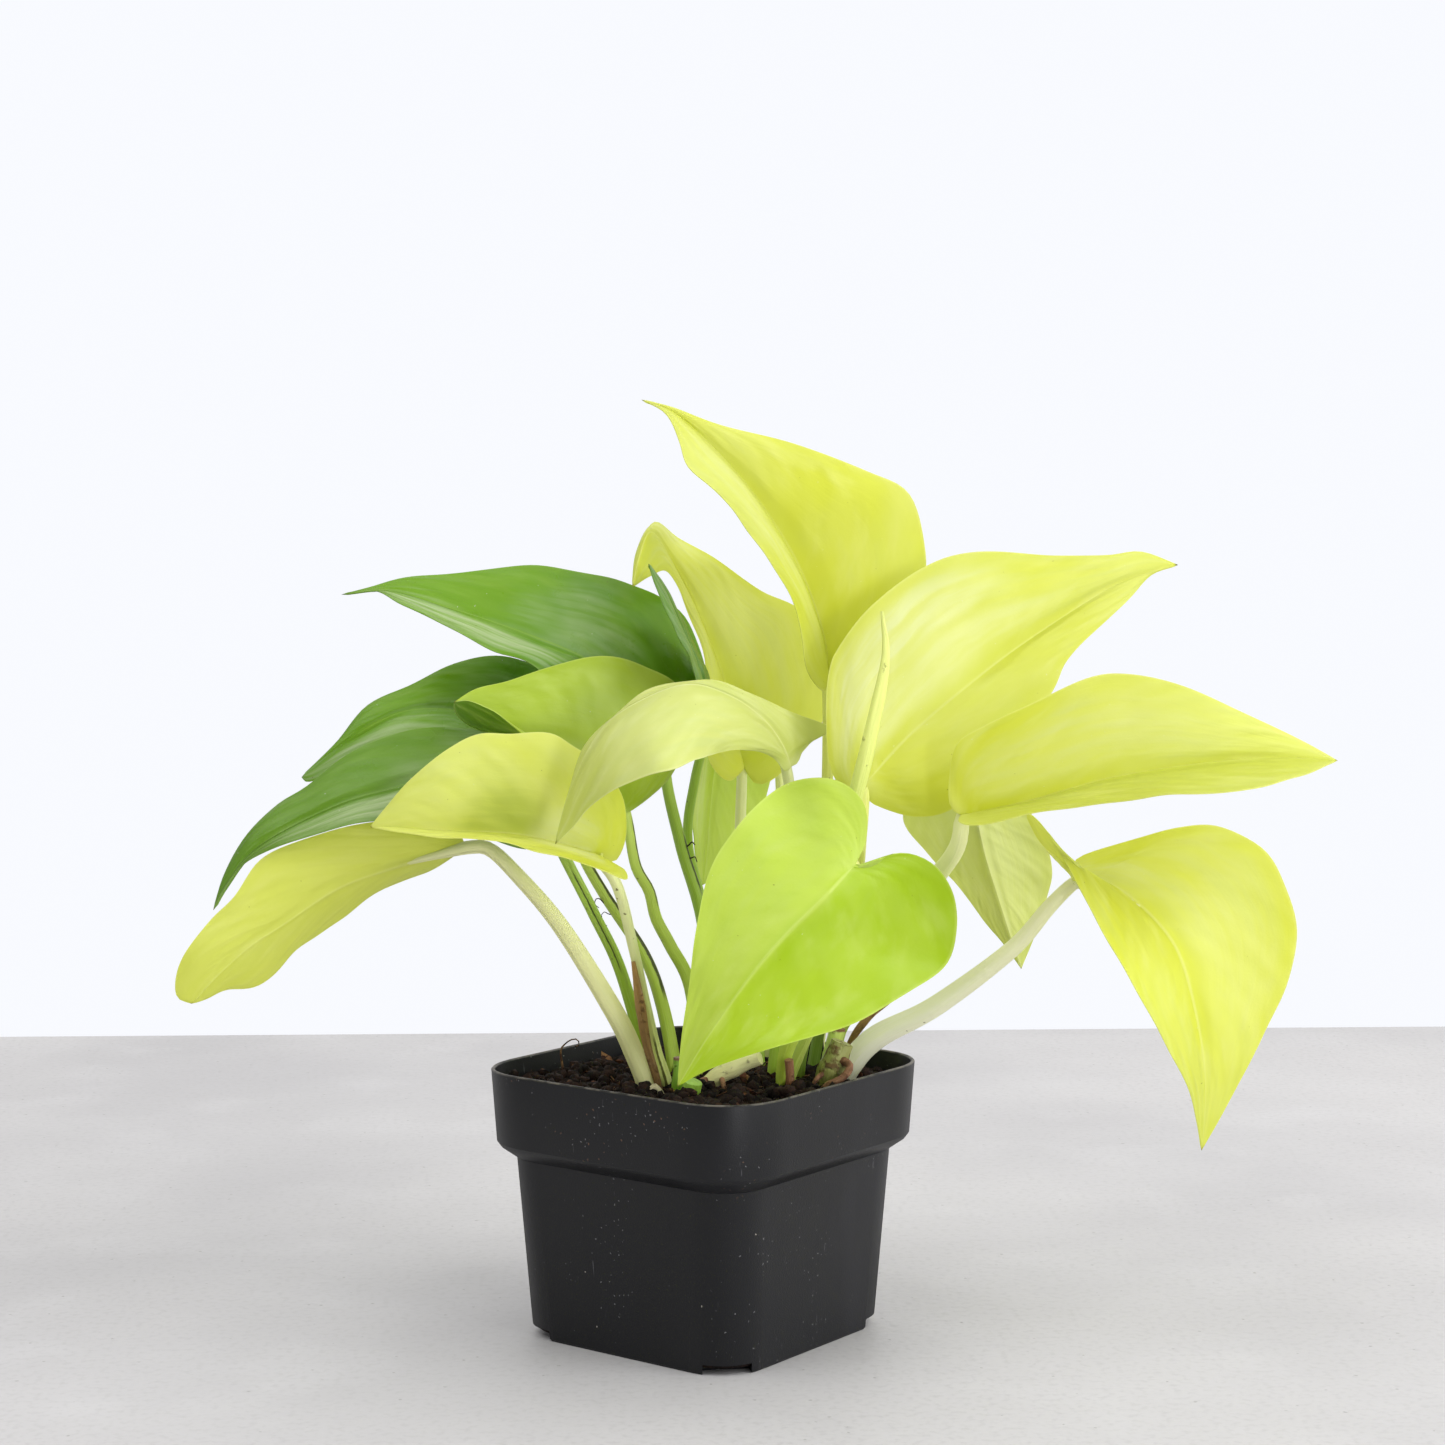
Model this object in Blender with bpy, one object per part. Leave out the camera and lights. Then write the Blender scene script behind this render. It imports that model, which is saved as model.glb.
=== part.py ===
"""Potted neon pothos: a square nursery pot of soil with sixteen leaves on their stalks, a
furled leaf, cut vine pieces, roots and dry sheaths. Metres, +Z up; the origin is the middle of
the pot's flat base, +X points right and +Y away from the viewer. Tables are in millimetres."""

import math

import bmesh
import bpy
import numpy as np

MM = 0.001

# Pot, a rounded square turned about Z
RIM_HALF = 50.0
RIM_CORNER = 19.3
POT_HEIGHT = 79.0
COLLAR_BOTTOM = 57.7
COLLAR_TAPER = 1.1
BODY_HALF = 42.8
BODY_CORNER = 12.6
BODY_TOP = 52.8
BASE_HALF = 39.8
BASE_CORNER = 13.4
WALL = 1.2
FLOOR = 1.6
LIP = 0.4
FOOT_INSET = 0.5
FOOT_HEIGHT = 0.7
STEP_INSET = 1.2
STEP_HEIGHT = 1.6
INNER_STEP_RISE = 0.6
INNER_STEP_DROP = 0.2
POT_TURN = math.radians(52.8)
CORNER_STEPS = 6
SLOT_HEIGHT = 3.0
SLOT_CHORDS = (14.0, 19.0)
SLOT_DEPTH = 9.0
SLOT_OUT = 2.0
DRAIN_RADIUS = 4.0
DRAIN_REACH = 20.0
DRAIN_SIDES = 12

# Soil: its top falls away from the viewer, with a low crown and clumps
CLEARANCE = 0.3
SOIL_LEVEL = 73.5
SOIL_FALL = 0.04
SOIL_CROWN = 2.0
CROWN_SPREAD = 1400.0
SOIL_RINGS = 10
SOIL_SHOULDER = 0.9
HOLE_GAP = 0.35
HOLE_TOP = 81.0
# Clumps: height, then X and Y wave numbers and phase of a sine and of a cosine
CLUMPS = (
    (0.78, (0.31, 0.17, 0.0), (-0.12, 0.27, 0.0)),
    (0.65, (0.74, 0.0, -0.3), (0.2, 0.69, -1.17)),
)

# Blades and stalks
BLADE = 0.7
FAN_ROWS = 3
LENGTH_ROWS = 8
HALF_COLUMNS = 3
FAN_SHARE = 0.24
FAN_RIB_SHARE = 0.07
STALK_SIDES = 6
STALK_SEGMENTS = 11
RIB_ROOT_SHARES = (0.036, 0.15, 0.30)
RIB_ROOT_SCALES = (0.85, 0.6, 0.35)
STEM_SIDES = 8
STEM_SEGMENTS = 10
ROOT_SIDES = 6
ROOT_SEGMENTS = 6
ROOT_TAPER = 0.6

COLOURS = {
    "neon": (0.78, 0.83, 0.10),
    "lime": (0.40, 0.58, 0.03),
    "green": (0.12, 0.33, 0.02),
    "pale": (0.66, 0.74, 0.24),
    "stem": (0.50, 0.62, 0.18),
    "sheath": (0.30, 0.18, 0.07),
    "pot": (0.014, 0.016, 0.020),
    "soil": (0.045, 0.022, 0.012),
}

# Each leaf: colour kind, stalk radii from the soil to the blade, how far each half domes, then
# curves from the stalk's end to the tip: the midrib and both margins round their lobes. The
# petiole runs from inside the soil to the blade
LEAVES = {
    "leaf_top": dict(
        kind="neon", stalk=(1.6, 1.9, 1.8, 1.6), cup=(0.05, 0.08),
        rib=((37, 20, 192), (35, 17, 205), (28, 13, 224), (18, 9, 241), (7, 5, 255), (-8, -2, 269),
             (-18, -8, 273)),
        left=((35, 11, 188), (30, 7, 195), (27, 7, 212), (16, -1, 231), (5, -10, 245), (-4, -14, 253),
              (-7, -9, 261), (-11, -5, 269)),
        right=((42, 22, 185), (51, 24, 186), (60, 25, 200), (65, 24, 215), (66, 24, 229),
               (61, 22, 246), (48, 17, 253), (26, 11, 261), (5, 4, 266), (-9, -3, 271)),
        petiole=((31, 10, 60), (32, 10, 74), (35, 14, 95), (36, 22, 130), (37, 26, 163)),
    ),
    "leaf_back_curled": dict(
        kind="neon", stalk=(2.4, 1.6), cup=(0.06, 0.06),
        rib=((12, 46, 162), (9, 46, 174), (5, 42, 192), (-3, 34, 213), (-11, 24, 228), (-16, 14, 235),
             (-19, 6, 228), (-21, 2, 219)),
        left=((7, 37, 159), (1, 32, 166), (-2, 33, 181), (0, 36, 195), (-6, 31, 213), (-11, 20, 223),
              (-16, 10, 222)),
        right=((16, 48, 157), (23, 49, 160), (35, 53, 173), (37, 53, 186), (34, 50, 200),
               (29, 47, 211), (17, 41, 217), (3, 32, 227), (-8, 32, 233), (-15, 23, 238),
               (-20, 12, 229)),
        petiole=((17, 23, 60), (16, 24, 74), (14, 30, 93), (11, 42, 128), (11, 46, 148)),
    ),
    "leaf_upper_right": dict(
        kind="neon", stalk=(1.7, 2.0, 1.8, 1.6), cup=(0.07, 0.05),
        rib=((46, -24, 164), (58, -16, 176), (73, -8, 188), (93, 4, 202), (120, 18, 218),
             (134, 26, 223), (143, 32, 225)),
        left=((42, -23, 160), (36, -22, 168), (35, -17, 183), (36, -11, 195), (39, -8, 202),
              (48, -2, 213), (63, 6, 224), (79, 11, 229), (105, 18, 228), (120, 22, 228),
              (131, 27, 229)),
        right=((46, -23, 160), (50, -22, 157), (61, -21, 154), (72, -22, 157), (88, -17, 170),
               (101, -6, 189), (107, 1, 199), (125, 16, 214), (134, 26, 222)),
        petiole=((27, -3, 60), (27.5, -4, 75), (29.5, -6, 88), (36, -10, 108), (43, -16, 130),
                 (45, -22, 150)),
    ),
    "leaf_right": dict(
        kind="neon", stalk=(2.3, 2.4, 2.6, 2.8, 2.6, 2.2), cup=(0.07, 0.00),
        rib=((72, -36, 156), (89, -41, 160), (112, -45, 167), (134, -47, 171), (157, -46, 173),
             (176, -43, 172)),
        left=((69, -36, 159), (69, -35, 167), (71, -35, 176), (78, -37, 181), (92, -40, 188),
              (107, -42, 195), (118, -43, 196), (132, -45, 193), (148, -45, 186), (165, -44, 178)),
        right=((71, -45, 155), (77, -51, 155), (97, -58, 160), (119, -69, 164), (132, -76, 166),
               (145, -75, 167), (161, -62, 169)),
        petiole=((39, 13, 60), (39, 13, 76), (40, 11, 87), (47, 4, 99), (63, -18, 131), (71, -32, 146)),
    ),
    "leaf_far_right": dict(
        kind="neon", stalk=(2.8, 3.4, 3.4, 3.0, 2.8, 2.5, 2.2, 1.9), cup=(0.06, 0.06),
        rib=((105, -30, 138), (113, -36, 137), (122, -42, 131), (131, -47, 120), (136, -50, 103),
             (139, -50, 84), (139, -46, 63)),
        left=((100, -35, 142), (94, -35, 149), (90, -38, 157), (95, -39, 153), (102, -37, 142),
              (111, -50, 124), (119, -60, 109), (127, -58, 95), (134, -53, 82), (137, -49, 72)),
        right=((105, -28, 142), (110, -29, 145), (123, -30, 149), (134, -31, 152), (146, -29, 152),
               (158, -30, 146), (164, -32, 136), (167, -34, 123), (164, -39, 110), (157, -43, 96),
               (145, -46, 74)),
        petiole=((40, -3, 60), (40, -3, 72), (43.5, -4, 80), (51, -6, 88), (67, -13, 98),
                 (88, -22, 116), (98, -27, 129)),
    ),
    "leaf_back_right": dict(
        kind="pale", stalk=(2.0, 1.1), cup=(0.06, 0.06),
        rib=((80, 33, 154), (83, 34, 147), (86, 38, 135), (92, 39, 116), (97, 37, 101)),
        left=((73, 36, 156), (64, 39, 154), (61, 41, 146), (71, 43, 133), (78, 42, 126), (86, 41, 115),
              (92, 39, 108)),
        right=((85, 35, 158), (95, 39, 156), (101, 41, 147), (105, 44, 140), (107, 45, 131),
               (106, 45, 123), (102, 41, 112)),
        petiole=((34, 23, 60), (34, 23, 77), (37, 24, 90), (53, 30, 108), (72, 41, 127),
                 (75, 46, 146), (77, 43, 154), (79, 38, 157)),
    ),
    "leaf_front_heart": dict(
        kind="lime", stalk=(1.5, 1.5, 2.4, 2.2, 1.9, 1.7, 1.6), cup=(0.05, 0.05),
        rib=((42, -50, 144), (32, -60, 135), (23, -65, 127), (13, -69, 116), (1, -70, 99),
             (-7, -66, 85)),
        left=((45, -47, 150), (45, -44, 159), (40, -42, 165), (32, -41, 167), (21, -39, 164),
              (10, -48, 155), (2, -55, 143), (-2, -62, 127), (-4, -65, 111), (-6, -67, 97)),
        right=((47, -48, 143), (51, -47, 146), (58, -44, 146), (65, -42, 142), (70, -40, 134),
               (71, -38, 124), (68, -39, 114), (57, -47, 108), (40, -56, 100), (18, -64, 95),
               (2, -66, 90)),
        petiole=((22, -16, 60), (22, -17, 74), (23.5, -20, 86), (28, -25, 98), (36, -33, 117), (40, -37, 135),
                 (42, -43, 143)),
    ),
    "leaf_arching": dict(
        kind="pale", stalk=(2.2, 2.0, 1.8, 1.6), cup=(0.05, 0.00),
        rib=((25, -17, 168), (22, -21, 175), (17, -26, 182), (8, -34, 189), (-4, -42, 193),
             (-17, -50, 189), (-28, -56, 181), (-36, -61, 165), (-40, -64, 151)),
        left=((23, -20, 167), (20.5, -24, 170.5), (17, -30, 173), (12, -38, 174.5), (5, -50, 175),
              (-7, -77, 173), (-17, -77, 170), (-29, -70, 163), (-35, -66, 156)),
        right=((27, -14, 169), (29, -8, 172.5), (34, -1, 176), (38.5, 5, 177), (34.5, 2, 179),
               (30, -3, 181), (22, -14, 185), (12, -26, 190), (0, -35, 194), (-15, -44, 192),
               (-24, -51, 185), (-33, -53, 176), (-37, -59, 163)),
        petiole=((20, -2, 60), (20.5, -3, 76), (22.5, -6, 99), (24.5, -12, 135), (25, -15, 158)),
    ),
    "leaf_front_left": dict(
        kind="neon", stalk=(2.2, 2.1, 1.6, 1.4, 1.5, 1.6, 1.6), cup=(0.00, 0.08),
        rib=((-29, -38, 145), (-40, -44, 149), (-53, -48, 152), (-70, -50, 153), (-84, -50, 154),
             (-92, -48, 154)),
        left=((-26, -42, 143), (-22, -46, 142), (-21, -51, 140), (-26, -55, 142), (-36, -58, 146),
              (-54, -60, 151), (-68, -58, 152), (-83, -53, 153)),
        right=((-25, -36, 143), (-22, -35, 149), (-22, -33, 157), (-24, -32, 163), (-29, -34, 170),
               (-36, -34, 175), (-43, -36, 179), (-54, -38, 179), (-63, -39, 179), (-71, -42, 175),
               (-81, -45, 167), (-88, -47, 159)),
        petiole=((-10.5, -17, 60), (-11, -18, 75), (-13.8, -20, 86), (-16.3, -24, 99), (-20, -30, 118),
                 (-24, -36, 136)),
    ),
    "leaf_lime_left": dict(
        kind="lime", stalk=(2.2, 1.5), cup=(0.06, 0.06),
        rib=((-22, -8, 154), (-30, -14, 165), (-41, -18, 173), (-53, -20, 177), (-60, -20, 178),
             (-66, -20, 180), (-70, -21, 183), (-71, -22, 187)),
        left=((-25, -12, 154), (-32, -17, 156), (-40, -22, 164), (-47, -26, 172), (-53, -28, 179.5),
              (-58, -28, 184), (-63, -27, 186.5), (-67, -25, 187.5)),
        right=((-16, -3, 158), (-9, 1, 165), (-4, 5, 177), (-8, 5, 190), (-18, 3, 196), (-29, -2, 199),
               (-42, -8, 197), (-56, -14, 192.5), (-65, -18, 190.5)),
        petiole=((0, -9, 60), (-1, -8, 76), (-4, -6, 102), (-10, -7, 115), (-14, -8, 123), (-16, -8, 131),
                 (-20, -8, 139)),
    ),
    "leaf_green_top": dict(
        kind="green", stalk=(2.4, 1.6), cup=(0.04, 0.06),
        rib=((-11, 10, 172), (-19, 6, 186), (-33, 2, 197), (-54, -1, 206), (-74, -4, 213),
             (-91, -6, 218), (-105, -6, 217)),
        left=((-15, 5, 169), (-25, -3, 172), (-36, -8, 183), (-49, -7, 196), (-61, -9, 201),
              (-74, -9, 208), (-87, -9, 214), (-95, -6, 218)),
        right=((-4, 16, 173), (0, 23, 183), (0, 25, 194), (-5, 29, 208), (-13, 27, 215),
               (-22, 24, 219), (-32, 22, 222), (-50, 16, 225), (-72, 6, 223), (-86, -1, 222),
               (-97, -5, 219)),
        petiole=((0, 16, 60), (0, 17, 76), (0, 20, 114), (-7, 18, 141), (-11, 12, 160)),
    ),
    "leaf_green_middle": dict(
        kind="green", stalk=(2.2, 1.5), cup=(0.06, 0.06),
        rib=((-39, 14, 155), (-49, 10, 171), (-66, 5, 181), (-86, 0, 183), (-103, -4, 175),
             (-117, -6, 164)),
        left=((-44, 7, 152), (-57, -4, 157), (-73, -15, 165), (-87, -15, 168), (-102, -11, 167),
              (-114, -9, 163)),
        right=((-31, 19, 156), (-27, 25, 169), (-33, 24, 184), (-46, 22, 193), (-61, 18, 198),
               (-74, 13, 196), (-87, 6, 190), (-99, 2, 184), (-107, -3, 174), (-115, -5, 166)),
        petiole=((-8.5, 3, 60), (-9, 4, 76), (-12.5, 5, 95), (-18, 7, 110), (-30, 10, 128), (-37, 13, 141)),
    ),
    "leaf_green_low": dict(
        kind="green", stalk=(1.9, 1.8, 1.6), cup=(0.06, 0.06),
        rib=((-44, -16, 154), (-55, -21, 164), (-71, -25, 167), (-87, -29, 163), (-104, -32, 158),
             (-125, -34, 147), (-134, -35, 136), (-138, -35, 129)),
        left=((-41, -25, 149), (-49, -32, 146), (-62, -45, 151), (-76, -44, 155), (-93, -41, 155),
              (-114, -38, 149), (-128, -35, 143), (-134, -36, 136)),
        right=((-37, -8, 156), (-36, -2, 167), (-48, -7, 176), (-64, -12, 178), (-78, -14, 179),
               (-90, -15, 177), (-101, -19, 172), (-113, -24, 163), (-121, -26, 158), (-129, -30, 150),
               (-135, -33, 139)),
        petiole=((-15, -8, 60), (-16, -8, 76), (-24, -10, 107), (-32, -12, 125), (-41, -15, 144)),
    ),
    "leaf_far_left": dict(
        kind="neon", stalk=(2.7, 2.9, 2.9, 2.6, 2.3, 2.0), cup=(0.06, 0.06),
        rib=((-69, -18, 146), (-76, -22, 144), (-91, -28, 140), (-104, -31, 135), (-119, -33, 125),
             (-128, -34, 119), (-138, -34, 110), (-145, -32, 102)),
        left=((-72, -13, 142), (-80, -9, 137), (-93, -10, 132), (-106, -14, 123), (-116, -18, 116),
              (-127, -22, 106), (-136, -26, 105), (-141, -29, 103)),
        right=((-72, -19, 149), (-82, -24, 153), (-97, -30, 153), (-115, -33, 148), (-125, -34, 143),
               (-132, -35, 133), (-139, -35, 126), (-146, -35, 117), (-149, -33, 110),
               (-149, -32, 104)),
        petiole=((-15.5, -21, 60), (-16.3, -21.5, 75), (-20, -22.5, 86), (-26, -24, 99), (-41, -23, 123),
                 (-54, -21, 138), (-62, -19, 145)),
    ),
    "leaf_green_upright": dict(
        kind="green", stalk=(2.0, 1.4), cup=(0.06, 0.06),
        rib=((1, 9, 186), (-2, 5, 195), (-7, 0, 207), (-11, -5, 217), (-16, -9, 226)),
        left=((-1, -3, 185), (-3, -11, 195), (-8, -15, 207), (-13, -13, 217)),
        right=((3, 19, 183), (0, 21, 194), (-5, 15, 205), (-11, 3, 218)),
        petiole=((1, 26, 60), (1, 26, 76), (0.5, 28, 114), (-5, 27, 141), (-3, 23, 160),
                 (1, 14, 177)),
    ),
    "leaf_back_hanging": dict(
        kind="pale", stalk=(2.0, 1.4), cup=(0.06, 0.06),
        rib=((7, 60, 182), (3, 64, 166), (1, 66, 150), (0, 64, 135), (-1, 60, 124)),
        left=((3, 54, 185), (0, 53, 178), (-3, 57, 161), (-4, 57, 145), (-3, 58, 132)),
        right=((12, 66, 185), (19, 72, 177), (21, 81, 159), (16, 79, 139), (5, 66, 127)),
        petiole=((20, 34, 60), (20, 35, 74), (23, 50, 111), (23, 66, 163), (15, 65, 182)),
    ),
}

# The furled leaf, cut stems, root and dry sheaths: colour kind, route and radii from inside the
# soil to the end, then the route and radius of each root that grows from it
STEMS = {
    "furled_leaf": dict(
        kind="stem", radii=(1.8, 1.8, 1.8, 1.8, 2.0, 2.3, 1.8, 0.4),
        route=((24.5, -10, 60), (24.5, -11, 75), (31, -17, 93), (40, -25, 116), (40.5, -27, 139),
               (42, -30, 156), (46.5, -33, 176), (51, -33, 199), (50, -32, 213)),
    ),
    "stem_cut_right": dict(
        kind="stem", radii=(3.0, 3.2, 3.9, 3.2),
        route=((35, -12, 60), (35.5, -12.5, 74), (37.5, -13, 81), (40, -13, 87.5)),
        roots=(
            (1.3, ((39, -14, 83), (42, -18, 81.5), (40, -20, 78.5), (35.5, -20.5, 76.5), (32.5, -20, 73))),
            (0.9, ((36, -14, 79), (33, -16.5, 78), (31, -17, 74.5))),
        ),
    ),
    "stem_pale_front": dict(
        kind="pale", radii=(2.2, 2.4, 2.6, 2.5, 2.4, 2.2),
        route=((-4, -15, 64), (-1, -15.5, 72), (3, -17, 77.5), (8, -18, 80.5), (12.5, -19, 83),
               (16, -20, 84.5)),
        roots=(
            (1.3, ((1, -17, 77), (-1, -20.5, 77), (-2, -22, 73))),
            (0.9, ((5, -18, 78.5), (5.5, -21.5, 77), (6.5, -23, 73.5))),
        ),
    ),
    "stem_stub_front": dict(
        kind="stem", radii=(3.0, 3.1, 2.6),
        route=((-5, -31, 60), (-4.5, -32, 73), (-3, -33.5, 80)),
    ),
    "stem_cut_left": dict(
        kind="stem", radii=(1.6, 1.7, 1.7),
        route=((-7.5, -25.5, 60), (-7.5, -26, 75), (-7, -26, 85.5)),
    ),
    "stem_stub_left": dict(
        kind="pale", radii=(1.5, 1.7, 1.3),
        route=((-12.5, -28.5, 62), (-12.5, -29, 74), (-14.5, -30, 78)),
    ),
    "stem_cut_centre": dict(
        kind="stem", radii=(2.1, 2.3, 2.4),
        route=((36.5, 3.5, 60), (36.7, 3.5, 76), (39.2, 3, 89)),
    ),
    "root_front": dict(
        kind="sheath", radii=(0.8, 1.1, 1.3),
        route=((25, -22, 62), (24.8, -22.5, 75), (24.3, -24.3, 84.5)),
    ),
    "sheath_back": dict(
        kind="sheath", radii=(0.8, 1.0, 0.6),
        route=((35, 17, 60), (35, 17, 76), (34.8, 16.7, 86.5)),
    ),
    "sheath_left": dict(
        kind="sheath", radii=(0.8, 0.9, 1.1, 1.3, 0.5),
        route=((-12, -24.5, 60), (-12.8, -24.8, 76), (-16.4, -25.5, 89), (-18, -28, 101),
               (-20, -32, 114)),
    ),
    "sheath_right": dict(
        kind="sheath", radii=(0.7, 0.9, 0.9, 1.0, 0.5),
        route=((42, 4, 60), (42, 4, 75), (43, 3.2, 84), (47.5, 0.5, 91.5), (54.5, -3, 98)),
    ),
}


def clear_scene():
    for old in list(bpy.data.objects):
        bpy.data.objects.remove(old, do_unlink=True)


def material(kind):
    made = bpy.data.materials.get(kind)
    if made is None:
        made = bpy.data.materials.new(kind)
        made.use_nodes = True
        shader = made.node_tree.nodes["Principled BSDF"]
        shader.inputs["Base Color"].default_value = (*COLOURS[kind], 1.0)
        shader.inputs["Roughness"].default_value = 0.9 if kind in ("soil", "sheath") else 0.4
        shader.inputs["Metallic"].default_value = 0.0
    return made


def add_object(name, mesh, kind):
    mesh.materials.clear()
    mesh.materials.append(material(kind))
    mesh.shade_smooth()
    mesh.set_sharp_from_angle(angle=math.radians(40))
    made = bpy.data.objects.new(name, mesh)
    bpy.context.scene.collection.objects.link(made)
    return made


def mesh_from(name, points, faces):
    """A closed mesh from points in millimetres, with its faces turned outward."""
    mesh = bpy.data.meshes.new(name)
    mesh.from_pydata([tuple(np.asarray(point) * MM) for point in points], [], faces)
    shape = bmesh.new()
    shape.from_mesh(mesh)
    bmesh.ops.recalc_face_normals(shape, faces=shape.faces)
    shape.to_mesh(mesh)
    shape.free()
    return mesh


def combine(target, helpers, operation):
    """Applies one Boolean of a collection of helpers to the target, then removes them."""
    group = bpy.data.collections.new(target.name + "_helpers")
    bpy.context.scene.collection.children.link(group)
    for helper in helpers:
        for holder in list(helper.users_collection):
            holder.objects.unlink(helper)
        group.objects.link(helper)
    modifier = target.modifiers.new("combine", "BOOLEAN")
    modifier.operation = operation
    modifier.operand_type = "COLLECTION"
    modifier.collection = group
    graph = bpy.context.evaluated_depsgraph_get()
    result = bpy.data.meshes.new_from_object(target.evaluated_get(graph))
    target.modifiers.clear()
    target.data = result
    for helper in helpers:
        bpy.data.objects.remove(helper, do_unlink=True)
    bpy.data.collections.remove(group)


def smooth_curve(points, shares):
    """Points at these shares of the length of a smooth curve through the given points."""
    given = np.asarray(points, float)
    ends = 2 * given[[0, -1]] - given[[1, -2]]
    padded = np.vstack([ends[:1], given, ends[1:]])
    steps = np.linspace(0, 1, 24, endpoint=False)[:, None]
    dense = []
    for a, b, c, d in zip(padded, padded[1:], padded[2:], padded[3:]):
        cubic = (3 * b - a - 3 * c + d) * steps**3
        dense.append(0.5 * (2 * b + (c - a) * steps + (2 * a - 5 * b + 4 * c - d) * steps**2 + cubic))
    dense = np.vstack(dense + [given[-1:]])
    run = np.append(0, np.cumsum(np.linalg.norm(np.diff(dense, axis=0), axis=1)))
    reach = np.asarray(shares) * run[-1]
    return np.stack([np.interp(reach, run, dense[:, axis]) for axis in range(3)], axis=1)


def unit(vectors):
    return vectors / (np.linalg.norm(vectors, axis=-1, keepdims=True) + 1e-9)


def tube(name, path, radii, sides, kind):
    """A closed round tube along a path, both in millimetres."""
    along = unit(np.gradient(path, axis=0))
    side = unit(np.cross(along, (0.0, 1.0, 0.15)))
    up = np.cross(side, along)
    points = []
    for centre, radius, across, over in zip(path, radii, side, up):
        for corner in range(sides):
            angle = 2 * math.pi * corner / sides
            points.append(centre + radius * (across * math.cos(angle) + over * math.sin(angle)))
    faces = [tuple(range(sides))]
    for ring in range(len(path) - 1):
        for corner in range(sides):
            here = ring * sides + corner
            beside = ring * sides + (corner + 1) % sides
            faces.append((here, beside, beside + sides, here + sides))
    faces.append(tuple(range((len(path) - 1) * sides, len(path) * sides)))
    return add_object(name, mesh_from(name, points, faces), kind)


def blade_rows():
    """Shares of the margin and of the midrib that each crosswise row of a blade joins."""
    fan = np.linspace(0, 1, FAN_ROWS + 1)
    rest = np.linspace(0, 1, LENGTH_ROWS + 1)[1:]
    margin = np.append(fan * FAN_SHARE, FAN_SHARE + rest * (1 - FAN_SHARE))
    midrib = np.append(fan * FAN_RIB_SHARE, FAN_RIB_SHARE + rest * (1 - FAN_RIB_SHARE))
    return margin, midrib


def half_blade(leaf, side, dome, turn):
    """Rows of points from the midrib to one margin, domed across."""
    margin_shares, midrib_shares = blade_rows()
    midrib = smooth_curve(leaf["rib"], midrib_shares)
    outline = [leaf["rib"][0], *leaf[side], leaf["rib"][-1]]
    margin = smooth_curve(outline, margin_shares)
    across = margin - midrib
    normal = turn * unit(np.cross(np.gradient(margin, axis=0) + np.gradient(midrib, axis=0), across))
    share = np.linspace(0, 1, HALF_COLUMNS + 1)[None, :, None]
    rise = dome * 4 * share * (1 - share) * np.linalg.norm(across, axis=1)[:, None, None]
    return midrib[:, None] + across[:, None] * share + normal[:, None] * rise


def blade(name, leaf):
    """A closed thin blade; both faces are split into the same triangles."""
    left = half_blade(leaf, "left", leaf["cup"][0], 1.0)
    right = half_blade(leaf, "right", leaf["cup"][1], -1.0)
    rows = np.concatenate([left[1:-1, :0:-1], right[1:-1]], axis=1)
    count, columns = rows.shape[:2]
    points = [left[0, 0], *rows.reshape(-1, 3), left[-1, 0]]
    tip = len(points) - 1
    triangles = []
    for column in range(columns - 1):
        triangles.append((0, 1 + column, 2 + column))
        last = 1 + (count - 1) * columns + column
        triangles.append((last, tip, last + 1))
    for row in range(count - 1):
        for column in range(columns - 1):
            here = 1 + row * columns + column
            below = here + columns
            if column < columns // 2:
                triangles += [(here, below, here + 1), (here + 1, below, below + 1)]
            else:
                triangles += [(here, below + 1, here + 1), (here, below, below + 1)]
    points = np.array(points)
    normals = np.zeros_like(points)
    for a, b, c in triangles:
        facing = np.cross(points[b] - points[a], points[c] - points[a])
        normals[[a, b, c]] += facing
    offset = unit(normals) * BLADE / 2
    size = len(points)
    faces = list(triangles)
    faces += [(a + size, c + size, b + size) for a, b, c in triangles]
    first = [1 + row * columns for row in range(count)]
    last = [columns + row * columns for row in range(count)]
    rim = [0, *first, tip, *reversed(last), 0]
    for a, b in zip(rim, rim[1:]):
        faces += [(a, b, b + size), (a, b + size, a + size)]
    both = np.vstack([points + offset, points - offset])
    return add_object(name, mesh_from(name, both, faces), leaf["kind"])


def stalk_path(leaf):
    """The stalk from the soil to the blade, running on under the root of the midrib."""
    stalk = smooth_curve([*leaf["petiole"], leaf["rib"][0]], np.linspace(0, 1, STALK_SEGMENTS + 1))
    return np.vstack([stalk, smooth_curve(leaf["rib"], RIB_ROOT_SHARES)])


def spread(values, count):
    """This many values, evenly read along a short list."""
    return np.interp(np.linspace(0, 1, count), np.linspace(0, 1, len(values)), values)


def stalk_radii(leaf):
    radii = spread(leaf["stalk"], STALK_SEGMENTS + 1)
    return np.append(radii, radii[-1] * np.array(RIB_ROOT_SCALES))


def add_leaf(name, leaf):
    made = blade(name, leaf)
    stalk = tube(name + "_stalk", stalk_path(leaf), stalk_radii(leaf), STALK_SIDES, leaf["kind"])
    combine(made, [stalk], "UNION")
    return made


def stem_shape(stem):
    path = smooth_curve(stem["route"], np.linspace(0, 1, STEM_SEGMENTS + 1))
    return path, spread(stem["radii"], STEM_SEGMENTS + 1)


def root_shape(radius, route):
    """A root that tapers from its stem to its end in the soil."""
    path = smooth_curve(route, np.linspace(0, 1, ROOT_SEGMENTS + 1))
    return path, np.linspace(radius, radius * ROOT_TAPER, ROOT_SEGMENTS + 1)


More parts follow.
